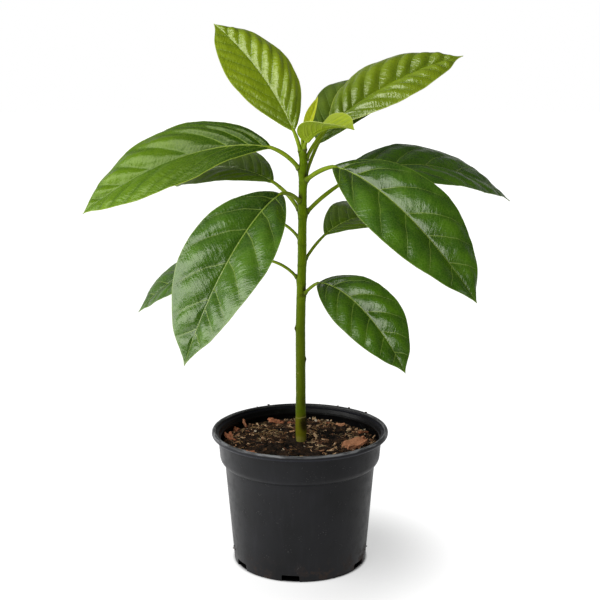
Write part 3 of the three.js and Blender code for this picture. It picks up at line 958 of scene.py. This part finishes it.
def makeTrunk(joints):
    piece, turn, walk = flatGrid("stem", 48, 380)
    z = trunk["foot"] + (trunk["top"] - trunk["foot"]) * walk
    bearing = turn * 360
    radius = stemRadius(z)
    for height, side, stand, reach in trunk["knobs"]:
        near = np.hypot(z - height, np.radians(degreesApart(bearing, side)) * radius) / reach
        radius = radius + stand * np.exp(-near ** 2)
    spots = {"marks": 0 * z, "scars": 0 * z}
    for kind in spots:
        for height, side, tall, wide, strength in trunk[kind]:
            near = np.hypot((z - height) / tall, degreesApart(bearing, side) / wide)
            spots[kind] = np.maximum(spots[kind], strength * (1 - ramp(near, 0.55, 1.15)))
    marks = spots["marks"]
    share, down, up, wide = trunk["cushion"]
    below, tilt, proud, high = trunk["ring"]
    for leaf in joints:
        # a cushion under each stalk, a faint ring right round at the node, and a brown axil
        joint, apart = leaf["joint"], degreesApart(bearing, leaf["bearing"])
        away = np.radians(apart) * radius
        over = z - (joint - 0.0016)
        over = over / np.where(over < 0, down, up)
        radius = radius + leaf["stalkRadius"] * share * np.exp(-over ** 2 - (away / wide) ** 2)
        ring = z - (joint - below + tilt * np.cos(np.radians(bearing - leaf["bearing"])))
        radius = radius + proud * np.exp(-(ring / high) ** 2)
        marks = np.maximum(marks, 0.3 * np.exp(-(ring / 0.0007) ** 2))
        axil = np.hypot((z - joint - 0.0035) / 0.0058, apart / 58)
        marks = np.maximum(marks, 0.9 * (1 - ramp(axil, 0.2, 1.1)))
    spokes = heading(bearing, 0)
    at = spokes * 0.004 + np.stack([0 * z, 0 * z, z], -1)
    radius = radius + trunk["ridges"] * rough(at * (1, 1, 0.09), 900, 3, 3.0)
    radius = radius + trunk["pits"] * rough(at, 420, 3, 5.0)
    crown = np.clip((z - (trunk["top"] - trunk["crown"])) / trunk["crown"], 0, 1)
    radius = radius * np.sqrt(np.clip(1 - crown ** 2, 0, 1))
    radius = np.where(walk <= 0, 0, radius)
    writePoints(piece, stemCentre(z) + spokes * radius[:, None])
    writeAttributes(piece, mark=marks, scar=spots["scars"])
    cleanUp(piece)
    smooth(piece)
    return piece


def axillaryBud(leaf, material):
    # the dark bud that sits in each joint, above the stalk
    piece, turn, walk = flatGrid("bud", 12, 10)
    slope, length, radius = trunk["bud"]
    lean, outward = heading(leaf["bearing"], slope), heading(leaf["bearing"], 0)
    start = stemCentre(leaf["joint"]) + outward * (stemRadius(leaf["joint"]) + 0.0002)
    start = start + np.array((0, 0, leaf["stalkRadius"] * 0.9))
    side = np.cross(lean, outward)
    radius = radius * np.sin(np.pi * walk ** 0.7) ** 0.75
    ring = ringAround(turn, radius, side, np.cross(side, lean), 0.7)
    writePoints(piece, start + np.outer(walk * length, lean) + ring)
    cleanUp(piece)
    smooth(piece)
    piece.data.materials.append(material)
    return piece


def makeBarkMaterial():
    material = newMaterial("bark_green")
    place = objectPoint()
    z = axesOf(place)[2]
    fine = noiseValue(stretched(place, 0.06), 1500.0, 3.0, 0.6)
    clouds, blotches = useGroup(mottle, stretched(place, 0.35), 0.006)
    specks, grain = useGroup(grit, stretched(place, 0.5), 0.0012)
    mark = times(readAttribute("mark"), fade(grain, 0.25, 0.55, 0.45, 1))
    colour = coat(
        (82, 110, 2), ((102, 128, 4), clouds),
        ((128, 144, 12), fade(fine, 0.42, 0.68, 0, 0.35)),
        # painted shade: the stem is darker near its top, under the leaves
        ((86, 114, 2), fade(z, 0.325, 0.36), 0.6),
        # browner towards the soil
        ((78, 90, 6), fade(z, 0.19, 0.29, 0.65, 0)),
        ((120, 114, 26), fade(z, 0.136, 0.150, 0.7, 0)),
        ((110, 92, 48), specks, 0.35, blotches),
        ((46, 38, 14), mark),
        ((158, 150, 84), readAttribute("scar")),
    )
    relief = (timesPlus(fine, 1.0, grain), 0.5, 0.00025)
    return dress(material, colour, timesPlus(mark, 0.25, 0.45), relief, 0.12, (1, 1, 0.5, 1))


def makeBudMaterial():
    material = newMaterial("dark_bud")
    clouds, blotches = useGroup(mottle, objectPoint(), 0.0015)
    colour = coat((48, 52, 22), ((78, 84, 34), clouds))
    return dress(material, colour, 0.6, (blotches, 0.5, 0.0002))


# leaves

bladeMake = {
    "spacing": 0.0011,  # between points along a blade
    "across": 68,
    "thickness": 0.0004,
    "tipStarts": 0.86,
    "archTurns": (0.28, 0.78),  # where between midrib and margin each half turns over
    "jitter": 0.014,  # of the places where veins start
    "groove": (0.0005, 0.0011),  # depth and half width of the one along the midrib
    "uneven": 0.0006,
    "leastHalf": 0.0003,
}

# stalk: height on the stem, bearing, length, radius, slope at the stem and at the blade (rise and
# set), and change of bearing (turn). blade: length, width, slope at the tip (droop), reached by the
# power bend, change of bearing (sweep), tilt across it at its foot and added by the tip (roll and
# twist), angle of each half and its change out to the margin (fold and curl). relief: how far it
# stands up between its veins (quilt), how far the margin waves, and how often
leafHeads = {
    "stalk": ("joint", "bearing", "stalkLength", "stalkRadius", "rise", "set", "turn"),
    "blade": ("length", "width", "droop", "bend", "sweep", "roll", "twist", "fold", "curl"),
    "relief": ("quilt", "wave", "waves"),
}
# where a blade is widest, how full its outline and tip are, how far each half arches, more fold at
# its foot, how far its side veins lean forward at the midrib and how much more further out, and
# where they start; archLeft, quiltLeft and veinsLeft are for its left half
leafUsual = {
    "belly": 0.5, "full": 0.8, "tip": 0.34, "arch": 8, "quiltLeft": 1, "footFold": 0,
    "lean": (0.68, 0.38),
    "veins": (0.04, 0.10, 0.17, 0.27, 0.41, 0.57, 0.72, 0.84),
}
leaves = {
    "leaf_young_upright": {
        "stalk": (0.398, 180, 0.016, 0.0011, 89, 58, -46), "skin": "newest",
        "relief": (0.0002, 0.0001, 2),
        "blade": (0.036, 0.013, 68, 0.9, 0, -20, -4, 44, 1), "belly": 0.42, "full": 0.9, "arch": 0,
    },
    "leaf_young_folded": {
        "stalk": (0.398, 42, 0.008, 0.0018, 99, 52, 0), "skin": "young",
        "relief": (0.0007, 0.0005, 2.2),
        "blade": (0.058, 0.043, -16, 0.8, 23, 5, -27, 28, -3), "belly": 0.43, "full": 0.65,
        "arch": 0,
    },
    "leaf_top_left": {
        "stalk": (0.396, -118, 0.020, 0.0019, 78, 56, -19), "skin": "fresh",
        "relief": (0.0025, 0.0005, 4),
        "blade": (0.139, 0.065, 34, 0.95, 16, 24, 7, 9, -11), "arch": 30, "archLeft": 4,
        "quiltLeft": 0.2,
        "lean": (1.1, 0.4), "veins": (0.05, 0.13, 0.24, 0.36, 0.48, 0.61, 0.74, 0.86),
    },
    "leaf_top_right": {
        "stalk": (0.389, 120, 0.040, 0.0019, 62, 33, 9), "skin": "bright",
        "relief": (0.0026, 0.0006, 4.3),
        "blade": (0.159, 0.071, 13, 1.1, -27, -20, -7, 11, -9), "arch": 31, "tip": 0.2,
        "veins": (0.05, 0.12, 0.21, 0.31, 0.42, 0.53, 0.65, 0.77, 0.88),
    },
    "leaf_upper_left": {
        "stalk": (0.3805, -88, 0.032, 0.0021, 55, 20, -5), "skin": "mid",
        "relief": (0.0026, 0.0007, 3.6),
        "blade": (0.196, 0.084, -39, 0.5, -4, 35, 3, 10, -8), "arch": 18, "archLeft": 9,
        "quiltLeft": 0.5,
        "footFold": 6, "lean": (1.25, 0.5), "veins": (0.04, 0.11, 0.21, 0.40, 0.60, 0.76, 0.88),
        "veinsLeft": (0.04, 0.10, 0.19, 0.34, 0.52, 0.68, 0.82),
    },
    "leaf_top_back": {
        "stalk": (0.3735, 138, 0.034, 0.0017, 67, 47.5, 4), "skin": "shade",
        "relief": (0.0008, 0.0005, 3),
        "blade": (0.131, 0.062, 3, 0.9, 8, -14, -2, 10, -8), "arch": 14,
    },
    "leaf_upper_right": {
        "stalk": (0.370, 51, 0.035, 0.0022, 38, 12, -5), "skin": "deep",
        "relief": (0.0017, 0.0006, 3.1),
        "blade": (0.191, 0.086, -54, 0.4, 17, -30, 8, 10, -7), "arch": 18, "lean": (0.72, 0.38),
        "veins": (0.05, 0.13, 0.30, 0.475, 0.64, 0.80),
        "veinsLeft": (0.06, 0.15, 0.30, 0.48, 0.62, 0.78),
    },
    "leaf_middle_left": {
        "stalk": (0.3505, -44, 0.029, 0.0020, 42, -1, 13), "skin": "deep",
        "relief": (0.0026, 0.0006, 3.3),
        "blade": (0.195, 0.084, -68, 0.5, -19, 24, -12, 12, -4), "arch": 11,
        "veins": (0.07, 0.17, 0.31, 0.505, 0.69, 0.83),
        "veinsLeft": (0.06, 0.18, 0.32, 0.49, 0.635, 0.735, 0.85),
    },
    "leaf_upper_left_back": {
        "stalk": (0.342, -124, 0.038, 0.0019, 53, 26, 0), "skin": "shade",
        "relief": (0.0011, 0.0005, 3),
        "blade": (0.129, 0.071, -34, 0.9, 0, 18, 11, 9, -9), "arch": 20,
    },
    "leaf_upper_right_back": {
        "stalk": (0.3395, 116, 0.043, 0.0020, 43, 26, 2), "skin": "deep",
        "relief": (0.0018, 0.0006, 3.5),
        "blade": (0.202, 0.082, -38, 0.9, -8, -21, -3, 7, -11), "tip": 0.16, "lean": (0.9, 0.5),
        "veins": (0.05, 0.15, 0.30, 0.48, 0.66, 0.83),
    },
    "leaf_middle_back": {
        "stalk": (0.3145, -142, 0.027, 0.0015, 36, 14, 2), "skin": "deep",
        "relief": (0.0005, 0.0005, 3),
        "blade": (0.118, 0.054, -42, 0.8, 0, 6, 0, 8, -8),
    },
    "leaf_middle_right_back": {
        "stalk": (0.295, 131, 0.033, 0.0015, 50, 27, 6), "skin": "shade",
        "relief": (0.0005, 0.0005, 3.2),
        "blade": (0.139, 0.065, -46, 1, 0, -15, -6, 10, -8),
    },
    "leaf_low_left_back": {
        "stalk": (0.2775, -110, 0.034, 0.0015, 49, 6, 6), "skin": "deep",
        "relief": (0.0005, 0.0005, 3),
        "blade": (0.148, 0.065, -53, 1, 4, 17, 9, 7, -9),
    },
    "leaf_low_right": {
        "stalk": (0.2635, 50, 0.021, 0.0016, 48, 24, -12), "skin": "deep",
        "relief": (0.0014, 0.0005, 3.2),
        "blade": (0.134, 0.063, -59, 0.5, 17, -25, 1, 9, -7), "arch": 16,
        "veins": (0.05, 0.12, 0.24, 0.39, 0.55, 0.72, 0.86),
        "veinsLeft": (0.05, 0.16, 0.33, 0.5, 0.68, 0.84),
    },
}


def spellOut(rows, heads, usual):
    # gives every listed value its own name, and each row the usual values that it lacks
    for row in rows.values():
        for group, names in heads.items():
            row.update(zip(names, row.pop(group)))
        for name, value in usual.items():
            row.setdefault(name, value)


spellOut(leaves, leafHeads, leafUsual)


stalkMake = {
    "inStem": (0.0022, 0.0014),  # how far its root reaches in and down
    "flare": (0.42, 0.0022),  # how much thicker it is at the stem, and how soon that ends
    "neck": 0.15,  # how much thinner at the blade
    "leastRadius": 0.0002,
    "underBlade": 0.0006,
    "bumps": 0.00008,
}


def stalkLine(leaf, count=40):
    # the stalk's line from the stem's surface to the foot of the blade
    out = heading(leaf["bearing"], 0) * (stemRadius(leaf["joint"]) + 0.0003)
    start = stemCentre(leaf["joint"]) + out
    share = (np.arange(count) + 0.5) / count
    slope = leaf["rise"] + (leaf["set"] - leaf["rise"]) * share
    steps = heading(leaf["bearing"] + leaf["turn"] * share, slope) * leaf["stalkLength"] / count
    return np.vstack([start, start + np.cumsum(steps, 0)])


def midribCourse(leaf, t):
    # bearing and slope of the midrib
    slope = leaf["set"] + (leaf["droop"] - leaf["set"]) * t ** leaf["bend"]
    return leaf["bearing"] + leaf["turn"] + leaf["sweep"] * t, slope


def midribLine(leaf, foot, count=400):
    share = (np.arange(count) + 0.5) / count
    steps = heading(*midribCourse(leaf, share)) * leaf["length"] / count
    return np.vstack([foot, foot + np.cumsum(steps, 0)])


def bladeCross(leaf, t):
    # the direction across the blade and the one out of its upper face
    bearing, slope = midribCourse(leaf, t)
    level = heading(bearing - 90, 0 * t)
    face = np.cross(level, heading(bearing, slope))
    tilt = np.radians(leaf["roll"] + leaf["twist"] * t)[..., None]
    return level * np.cos(tilt) + face * np.sin(tilt), face * np.cos(tilt) - level * np.sin(tilt)


def bladeOutline(leaf, t):
    power = math.log(0.5) / math.log(leaf["belly"])
    body = np.sin(np.pi * np.clip(t, 0, 1) ** power).clip(0) ** leaf["full"]
    mix = ramp(t, bladeMake["tipStarts"], 1)
    return (1 - mix) * body + mix * leaf["tip"] * (1 - t) / (1 - bladeMake["tipStarts"])


def halfSection(leaf, spread, more, arch):
    # how far out and up each point of a half blade lies, in half widths, and the slope there
    level = math.radians(leaf["fold"] + leaf["curl"] / 2 + more)
    steps = np.linspace(0, 1, 200)
    slope = level + math.radians(arch) * (1 - 2 * ramp(steps, *bladeMake["archTurns"]))
    parts = np.cos(slope), np.sin(slope)
    run, lift = (np.concatenate([[0], np.cumsum(part)[:-1]]) / (len(steps) - 1) for part in parts)
    run *= math.cos(level) / run[-1]
    lift += steps * (math.sin(level) - lift[-1])
    return [np.interp(spread, steps, values) for values in (run, lift, slope)]


def veinPlace(starts, distance):
    # numbered place between the side veins: a whole number lies on a vein
    starts = np.array(starts)
    gaps = np.diff(starts)
    numbers = np.arange(len(starts))
    place = np.interp(distance, starts, numbers)
    place = np.where(distance < starts[0], (distance - starts[0]) / gaps[0], place)
    place = np.where(distance > starts[-1], numbers[-1] + (distance - starts[-1]) / gaps[-1], place)
    middle = np.concatenate([gaps[:1], (gaps[1:] + gaps[:-1]) / 2, gaps[-1:]])
    return np.clip(place, -0.5, numbers[-1] + 0.5), np.interp(place, numbers, middle)


def makeBlade(name, leaf, foot, skins, rng):
    rows = max(36, int(leaf["length"] / bladeMake["spacing"]))
    columns = int(bladeMake["across"] * min(1, 0.35 + 0.65 * leaf["width"] / 0.084) / 2) * 2
    piece, sideways, t = flatGrid(name, columns, rows)
    # the points crowd at the foot, the tip and the midrib
    if rows < 60:
        t = 0.5 - 0.5 * np.cos(np.pi * t)
    else:
        t = t - 0.35 / (2 * np.pi) * np.sin(2 * np.pi * t)
    v = 2 * sideways - 1
    v = np.sign(v) * (0.35 * np.abs(v) + 0.65 * np.abs(v) ** 1.6)
    spread, hand, onRight = np.abs(v), np.sign(v), v > 0
    widest = leaf["width"] / 2
    half = np.maximum(widest * bladeOutline(leaf, t), bladeMake["leastHalf"])
    line = midribLine(leaf, foot)
    rib = np.stack([np.interp(t, np.linspace(0, 1, len(line)), line[:, k]) for k in range(3)], -1)
    side, up = bladeCross(leaf, t)
    # each half rises steeply from the midrib and arches over, with its margin as in the CAD part
    sections = []
    for more in (leaf["footFold"], 0):
        right = halfSection(leaf, spread, more, leaf["arch"])
        left = halfSection(leaf, spread, more, leaf.get("archLeft", leaf["arch"]))
        sections.append([np.where(onRight, a, b) for a, b in zip(right, left)])
    out, rise, lay = (a + (b - a) * ramp(t, 0.12, 0.42) for a, b in zip(*sections))
    place = rib + side * (half * hand * out)[:, None] + up * (half * rise)[:, None]
    outward = up * np.cos(lay)[:, None] - side * (hand * np.sin(lay))[:, None]
    # side veins leave the midrib at an angle and curve forward towards the margin
    reach = spread * half
    q = reach / widest
    lean, further = leaf["lean"]
    started = t * leaf["length"] - widest * (lean * q + further * q * q)
    bend = np.sqrt(1 + (lean + 2 * further * q) ** 2)
    loose = 0 if "veinsLeft" in leaf else bladeMake["jitter"]
    numbers = []
    for word, shares in (("Right", leaf["veins"]), ("Left", leaf.get("veinsLeft", leaf["veins"]))):
        starts = sorted((s + rng.uniform(-loose, loose)) * leaf["length"] for s in shares)
        number, gap = veinPlace(starts, started)
        numbers.append(number)
        writeAttributes(piece, **{"veins" + word: number, "step" + word: gap / bend})
    # the blade stands up between its veins, and has a groove along the midrib
    swell = np.sqrt(np.sin(np.pi * np.where(onRight, *numbers)) ** 2 + 0.03) - 0.17
    within = ramp(spread, 0.01, 0.16) * (1 - ramp(spread, 0.6, 1)) * ramp(t, 0.01, 0.07)
    within = within * (1 - ramp(t, 0.88, 0.99))
    relief = leaf["quilt"] * (swell - 0.4) * within * np.where(onRight, 1, leaf["quiltLeft"])
    deep, wide = bladeMake["groove"]
    relief -= deep * np.exp(-(reach / wide) ** 2) * ramp(t, 0, 0.04) * (1 - ramp(t, 0.6, 1))
    # the margin waves, and the whole blade is slightly uneven
    first, second = rng.uniform(0, 6.28), rng.uniform(0, 6.28)
    waves = 2 * np.pi * leaf["waves"]
    beat = np.where(onRight, np.sin(waves * t + first), np.sin(waves * 0.9 * t + second))
    relief += leaf["wave"] * beat * spread ** 2.4 * ramp(t, 0.02, 0.2) * (1 - ramp(t, 0.85, 1))
    flat = np.stack([t * leaf["length"], v * half, 0 * t], -1)
    relief += bladeMake["uneven"] * rough(flat, 80, 3, rng.uniform(0, 50)) * ramp(spread, 0.02, 0.2)
    writePoints(piece, place + outward * relief[:, None])
    writeAttributes(piece, along=t, spread=spread, rim=half * (1 - spread))
    layer = piece.data.uv_layers[0]
    layer.name = "bladeMap"
    corners = np.zeros(len(piece.data.loops), int)
    piece.data.loops.foreach_get("vertex_index", corners)
    layer.data.foreach_set("uv", flat[corners][:, :2].astype(np.float32).ravel())
    for skin in skins:
        piece.data.materials.append(skin)
    below = {"offset": -1, "material_offset": 1, "material_offset_rim": 0}
    modify(piece, "SOLIDIFY", thickness=bladeMake["thickness"], **below)
    return piece


def makeStalk(leaf, material):
    # the stalk, which runs on as the midrib under the blade to its tip
    stalk = stalkLine(leaf)
    rib = midribLine(leaf, stalk[-1], 90)
    deep, low = stalkMake["inStem"]
    inside = stalk[0] - heading(leaf["bearing"], 0) * deep - np.array((0, 0, low))
    line = np.vstack([inside, stalk, rib[1:-1]])
    t = np.concatenate([np.zeros(len(stalk) + 1), np.linspace(0, 1, len(rib))[1:-1]])
    run = np.concatenate([[0], np.cumsum(np.linalg.norm(np.diff(line, axis=0), axis=1))])
    fromStem = run - run[1]
    flare, soon = stalkMake["flare"]
    radius = leaf["stalkRadius"] * (1 + flare * np.exp(-(np.clip(fromStem, 0, 1) / soon) ** 2))
    atBlade = ramp(fromStem, 0.6 * leaf["stalkLength"], leaf["stalkLength"])
    radius = radius * (1 - stalkMake["neck"] * atBlade)
    radius = np.maximum(np.where(t > 0, radius * (1 - t) ** 0.75, radius), stalkMake["leastRadius"])
    side, up = bladeCross(leaf, t)
    line = line - up * ((radius + stalkMake["underBlade"]) * ramp(t, 0, 0.05))[:, None]
    radius[[0, -1]] = 0
    piece, turn, walk = flatGrid("stalk", 14, len(line) - 1)
    row = np.rint(walk * (len(line) - 1)).astype(int)
    ahead = unit(np.gradient(line, axis=0))
    across = unit(side - ahead * np.sum(side * ahead, 1, keepdims=True))
    grow = radius[row]
    ring = ringAround(turn, grow, across[row], np.cross(across, ahead)[row])
    points = line[row] + ring
    bumps = rough(points, 380, 2, 8.0) * stalkMake["bumps"] * (grow > 0.0005)
    writePoints(piece, points + unit(ring) * bumps[:, None])
    writeAttributes(piece, fromStem=np.clip(fromStem[row], 0, 1))
    piece.data.uv_layers[0].name = "bladeMap"
    piece.data.materials.append(material)
    cleanUp(piece, 1e-7)
    return piece, stalk[-1]


# body: tones of the upper face at its foot, further out, painted shade beside the veins and the
# midrib, and in its light clouds.
# lines: its veins and its midrib, each near and far from the foot, and its margin. back: the
# underside and its veins. finish: where the foot's tone ends, how far it shines, width of the
# veins, how much veins and midrib show, and how deep the wrinkles are
lookHeads = {
    "body": ("foot", "face", "beside", "light"),
    "lines": ("vein", "veinFar", "rib", "ribFar", "margin"),
    "back": ("under", "underVein"),
    "finish": ("footEnds", "sheen", "veinWidth", "veinShow", "ribShow", "ripple"),
}
lookUsual = {"roughness": 0.18, "sheenTone": (0.98, 1, 0.8, 1)}
leafLook = {
    "deep": {
        "body": ((30, 62, 1), (54, 96, 1), (36, 68, 2), (92, 138, 4)),
        "lines": ((130, 156, 62), (120, 148, 54), (152, 178, 74), (150, 172, 74), (124, 152, 52)),
        "back": ((96, 124, 48), (140, 160, 78)), "slot": "deep_leaf",
        "finish": (0.35, 1.12, 0.00085, 0.75, 0.95, 0.85), "sheenTone": (0.97, 1, 0.86, 1),
    },
    # the shade look is a paler copy of the deep look: painted light that lifts the back leaves,
    # which the lamp barely reaches
    "shade": {
        "body": ((84, 112, 12), (98, 124, 14), (64, 98, 8), (116, 142, 22)),
        "lines": ((130, 156, 62), (120, 148, 54), (152, 178, 74), (150, 172, 74), (124, 152, 52)),
        "back": ((96, 124, 48), (140, 160, 78)), "slot": "deep_leaf",
        "finish": (0.35, 1.0, 0.00085, 0.75, 0.95, 0.7),
    },
    "mid": {
        "body": ((22, 56, 1), (96, 134, 2), (54, 92, 2), (116, 150, 6)),
        "lines": ((140, 166, 50), (72, 110, 4), (160, 182, 70), (64, 100, 4), (160, 182, 60)),
        "back": ((112, 138, 50), (150, 168, 78)), "slot": "mid_leaf",
        "finish": (0.9, 0.74, 0.0007, 0.6, 0.9, 1.4), "sheenTone": (0.9, 1, 0.56, 1),
    },
    "bright": {
        "body": ((104, 132, 2), (128, 154, 1), (104, 132, 2), (146, 166, 5)),
        "lines": ((140, 162, 40), (100, 130, 4), (184, 198, 100), (164, 184, 70), (184, 200, 74)),
        "back": ((132, 154, 48), (156, 174, 72)), "slot": "bright_leaf",
        "finish": (0.5, 1.7, 0.0009, 0.55, 0.95, 1.2),
    },
    "fresh": {
        "body": ((110, 136, 1), (140, 164, 1), (114, 140, 2), (156, 178, 3)),
        "lines": ((120, 146, 10), (104, 132, 3), (158, 178, 60), (84, 108, 2), (188, 204, 78)),
        "back": ((132, 154, 48), (156, 174, 72)), "slot": "bright_leaf",
        "finish": (0.5, 1.5, 0.0009, 0.55, 0.6, 1.6),
    },
    "young": {
        "body": ((168, 186, 20), (188, 204, 34), (124, 152, 10), (190, 208, 60)),
        "lines": ((168, 190, 84), (168, 190, 84), (172, 192, 90), (172, 192, 90), (184, 200, 100)),
        "back": ((160, 184, 24), (172, 192, 54)), "slot": "young_leaf", "roughness": 0.34,
        "finish": (0.5, 0.8, 0.0006, 0.5, 0.8, 0.35), "sheenTone": (1, 1, 0.6, 1),
    },
    "newest": {
        "body": ((168, 186, 14), (188, 204, 26), (176, 184, 10), (200, 214, 58)),
        "lines": ((190, 196, 50), (190, 196, 50), (190, 198, 60), (190, 198, 60), (206, 210, 80)),
        "back": ((184, 188, 12), (198, 202, 40)), "slot": "young_leaf", "roughness": 0.34,
        "finish": (0.5, 0.8, 0.0006, 0.5, 0.8, 0.35), "sheenTone": (1, 1, 0.6, 1),
    },
}
spellOut(leafLook, lookHeads, lookUsual)


def makeUpperSkin(kind, look):
    material = newMaterial(kind + "_leaf_upper")
    parts = useGroup(leafVeins, look["veinWidth"], 0.0024)
    vein, rib, net, margin, ripple, nearVein, nearRib = parts
    clouds, blotches = useGroup(mottle, objectPoint(), 0.022)
    along = readAttribute("along")
    fromFoot, far = fade(along, 0.05, look["footEnds"]), fade(along, 0.1, 0.6)
    # veins and midrib are palest near the stalk, and on young blades further out they are painted
    # darker than the blade, as painted shade in their creases
    colour = coat(
        look["foot"],
        (look["face"], fromFoot),
        # painted shade: darker beside the veins, in their creases
        (look["beside"], nearVein, 0.5),
        (look["light"], clouds, times(fromFoot, 0.45)),
        # painted shade: darker along the midrib
        (look["beside"], nearRib, 0.3),
        (look["vein"], net, 0.16),
        (blend(far, look["vein"], look["veinFar"]), vein, look["veinShow"]),
        (blend(far, look["rib"], look["ribFar"]), rib, look["ribShow"]),
        (look["margin"], margin, 0.8),
    )
    height = times(ripple, 0.30 * look["ripple"])
    for part, share in ((net, -0.10), (nearVein, -0.6), (vein, -0.35), (blotches, 0.12)):
        height = timesPlus(part, share, height)
    roughness = timesPlus(blotches, 0.08, look["roughness"])
    relief = (height, 0.8, 0.0006)
    return dress(material, colour, roughness, relief, look["sheen"], look["sheenTone"])


def makeUnderSkin(kind, look):
    material = newMaterial(kind + "_leaf_under")
    parts = useGroup(leafVeins, look["veinWidth"] * 1.7, 0.0022)
    vein, net = parts["Vein"], parts["Net"]
    clouds, blotches = useGroup(mottle, objectPoint(), 0.03)
    colour = coat(
        look["under"],
        (blend(1, look["under"], (0.8, 0.85, 0.72, 1), "MULTIPLY"), clouds, 0.6),
        (look["underVein"], net, 0.28),
        (look["underVein"], vein, 0.85),
    )
    height = timesPlus(parts["Near Vein"], 0.5, timesPlus(vein, 1.0, times(net, 0.25)))
    return dress(material, colour, timesPlus(blotches, 0.1, 0.6), (height, 0.8, 0.0006), 0.3)


def makeStalkSkin(name, body, foot, pale):
    material = newMaterial(name)
    clouds, blotches = useGroup(mottle, objectPoint(), 0.009)
    fromStem = readAttribute("fromStem")
    colour = coat(
        body, (pale, clouds, 0.5), (foot, fade(fromStem, 0, 0.012, 0.75, 0)),
        # a dark ring where the stalk meets the stem: painted shade in the groove there
        ((66, 70, 24), fade(fromStem, 0.0002, 0.0014, 0.8, 0)),
    )
    roughness = timesPlus(blotches, 0.1, 0.42)
    return dress(material, colour, roughness, (blotches, 0.35, 0.0002), 0.25, (1, 1, 0.6, 1))


stalkSkin = makeStalkSkin("leaf_stalk", (114, 138, 8), (86, 110, 4), (138, 158, 32))
youngStalkSkin = makeStalkSkin("young_leaf_stalk", (124, 148, 10), (98, 124, 5), (148, 168, 34))


def makeLeaves():
    skins = {kind: (makeUpperSkin(kind, x), makeUnderSkin(kind, x)) for kind, x in leafLook.items()}
    for order, (name, leaf) in enumerate(leaves.items()):
        slot = leafLook[leaf["skin"]]["slot"]
        pale = slot in ("young_leaf", "bright_leaf")
        stalk, foot = makeStalk(leaf, youngStalkSkin if pale else stalkSkin)
        blade = makeBlade(name, leaf, foot, skins[leaf["skin"]], random.Random(100 + order))
        piece = joinUp(name + "_blade", [blade, stalk])
        smooth(piece, 50)
        finishPiece(piece, [name])
        print(" ", name, len(piece.data.polygons), "faces")


def makeTerminalBud():
    bud = {
        "foot": 0.3985, "radius": 0.0014, "length": 0.0122, "bearing": -80, "lean": 8,
        "profile": ((0, 0.04, 0.25, 0.55, 0.8, 0.95, 1), (0, 0.7, 1, 0.85, 0.5, 0.2, 0)),
    }
    piece, turn, walk = flatGrid("terminal_bud_scales", 24, 40)
    ahead = heading(bud["bearing"], 90 - bud["lean"])
    start = stemCentre(bud["foot"])
    radius = bud["radius"] * np.interp(walk, *bud["profile"])
    # the edge of the outer scale winds up the bud as a crease
    aside = (2 * np.pi * turn - walk * 1.4 - 1.2 + np.pi) % (2 * np.pi) - np.pi
    radius = radius * (1 - 0.22 * np.exp(-(np.abs(aside) / 0.28) ** 2))
    side = unit(np.cross(ahead, np.array((0.0, 1.0, 0.0))))
    ring = ringAround(turn, radius, side, np.cross(ahead, side), 0.85)
    writePoints(piece, start + np.outer(walk * bud["length"], ahead) + ring)
    writeAttributes(piece, fromStem=0.004 + walk * bud["length"])
    cleanUp(piece)
    smooth(piece)
    finishPiece(piece, ["terminal_bud"], youngStalkSkin)


def makeStem():
    # the two youngest leaves have no buds of their own yet
    joints = list(leaves.values())
    stem = makeTrunk(joints)
    stem.data.materials.append(makeBarkMaterial())
    budSkin = makeBudMaterial()
    piece = joinUp("stem_bark", [stem] + [axillaryBud(leaf, budSkin) for leaf in joints[2:]])
    finishPiece(piece, ["trunk"])


makeLeaves()
makeTerminalBud()
makeStem()
print("plant made")
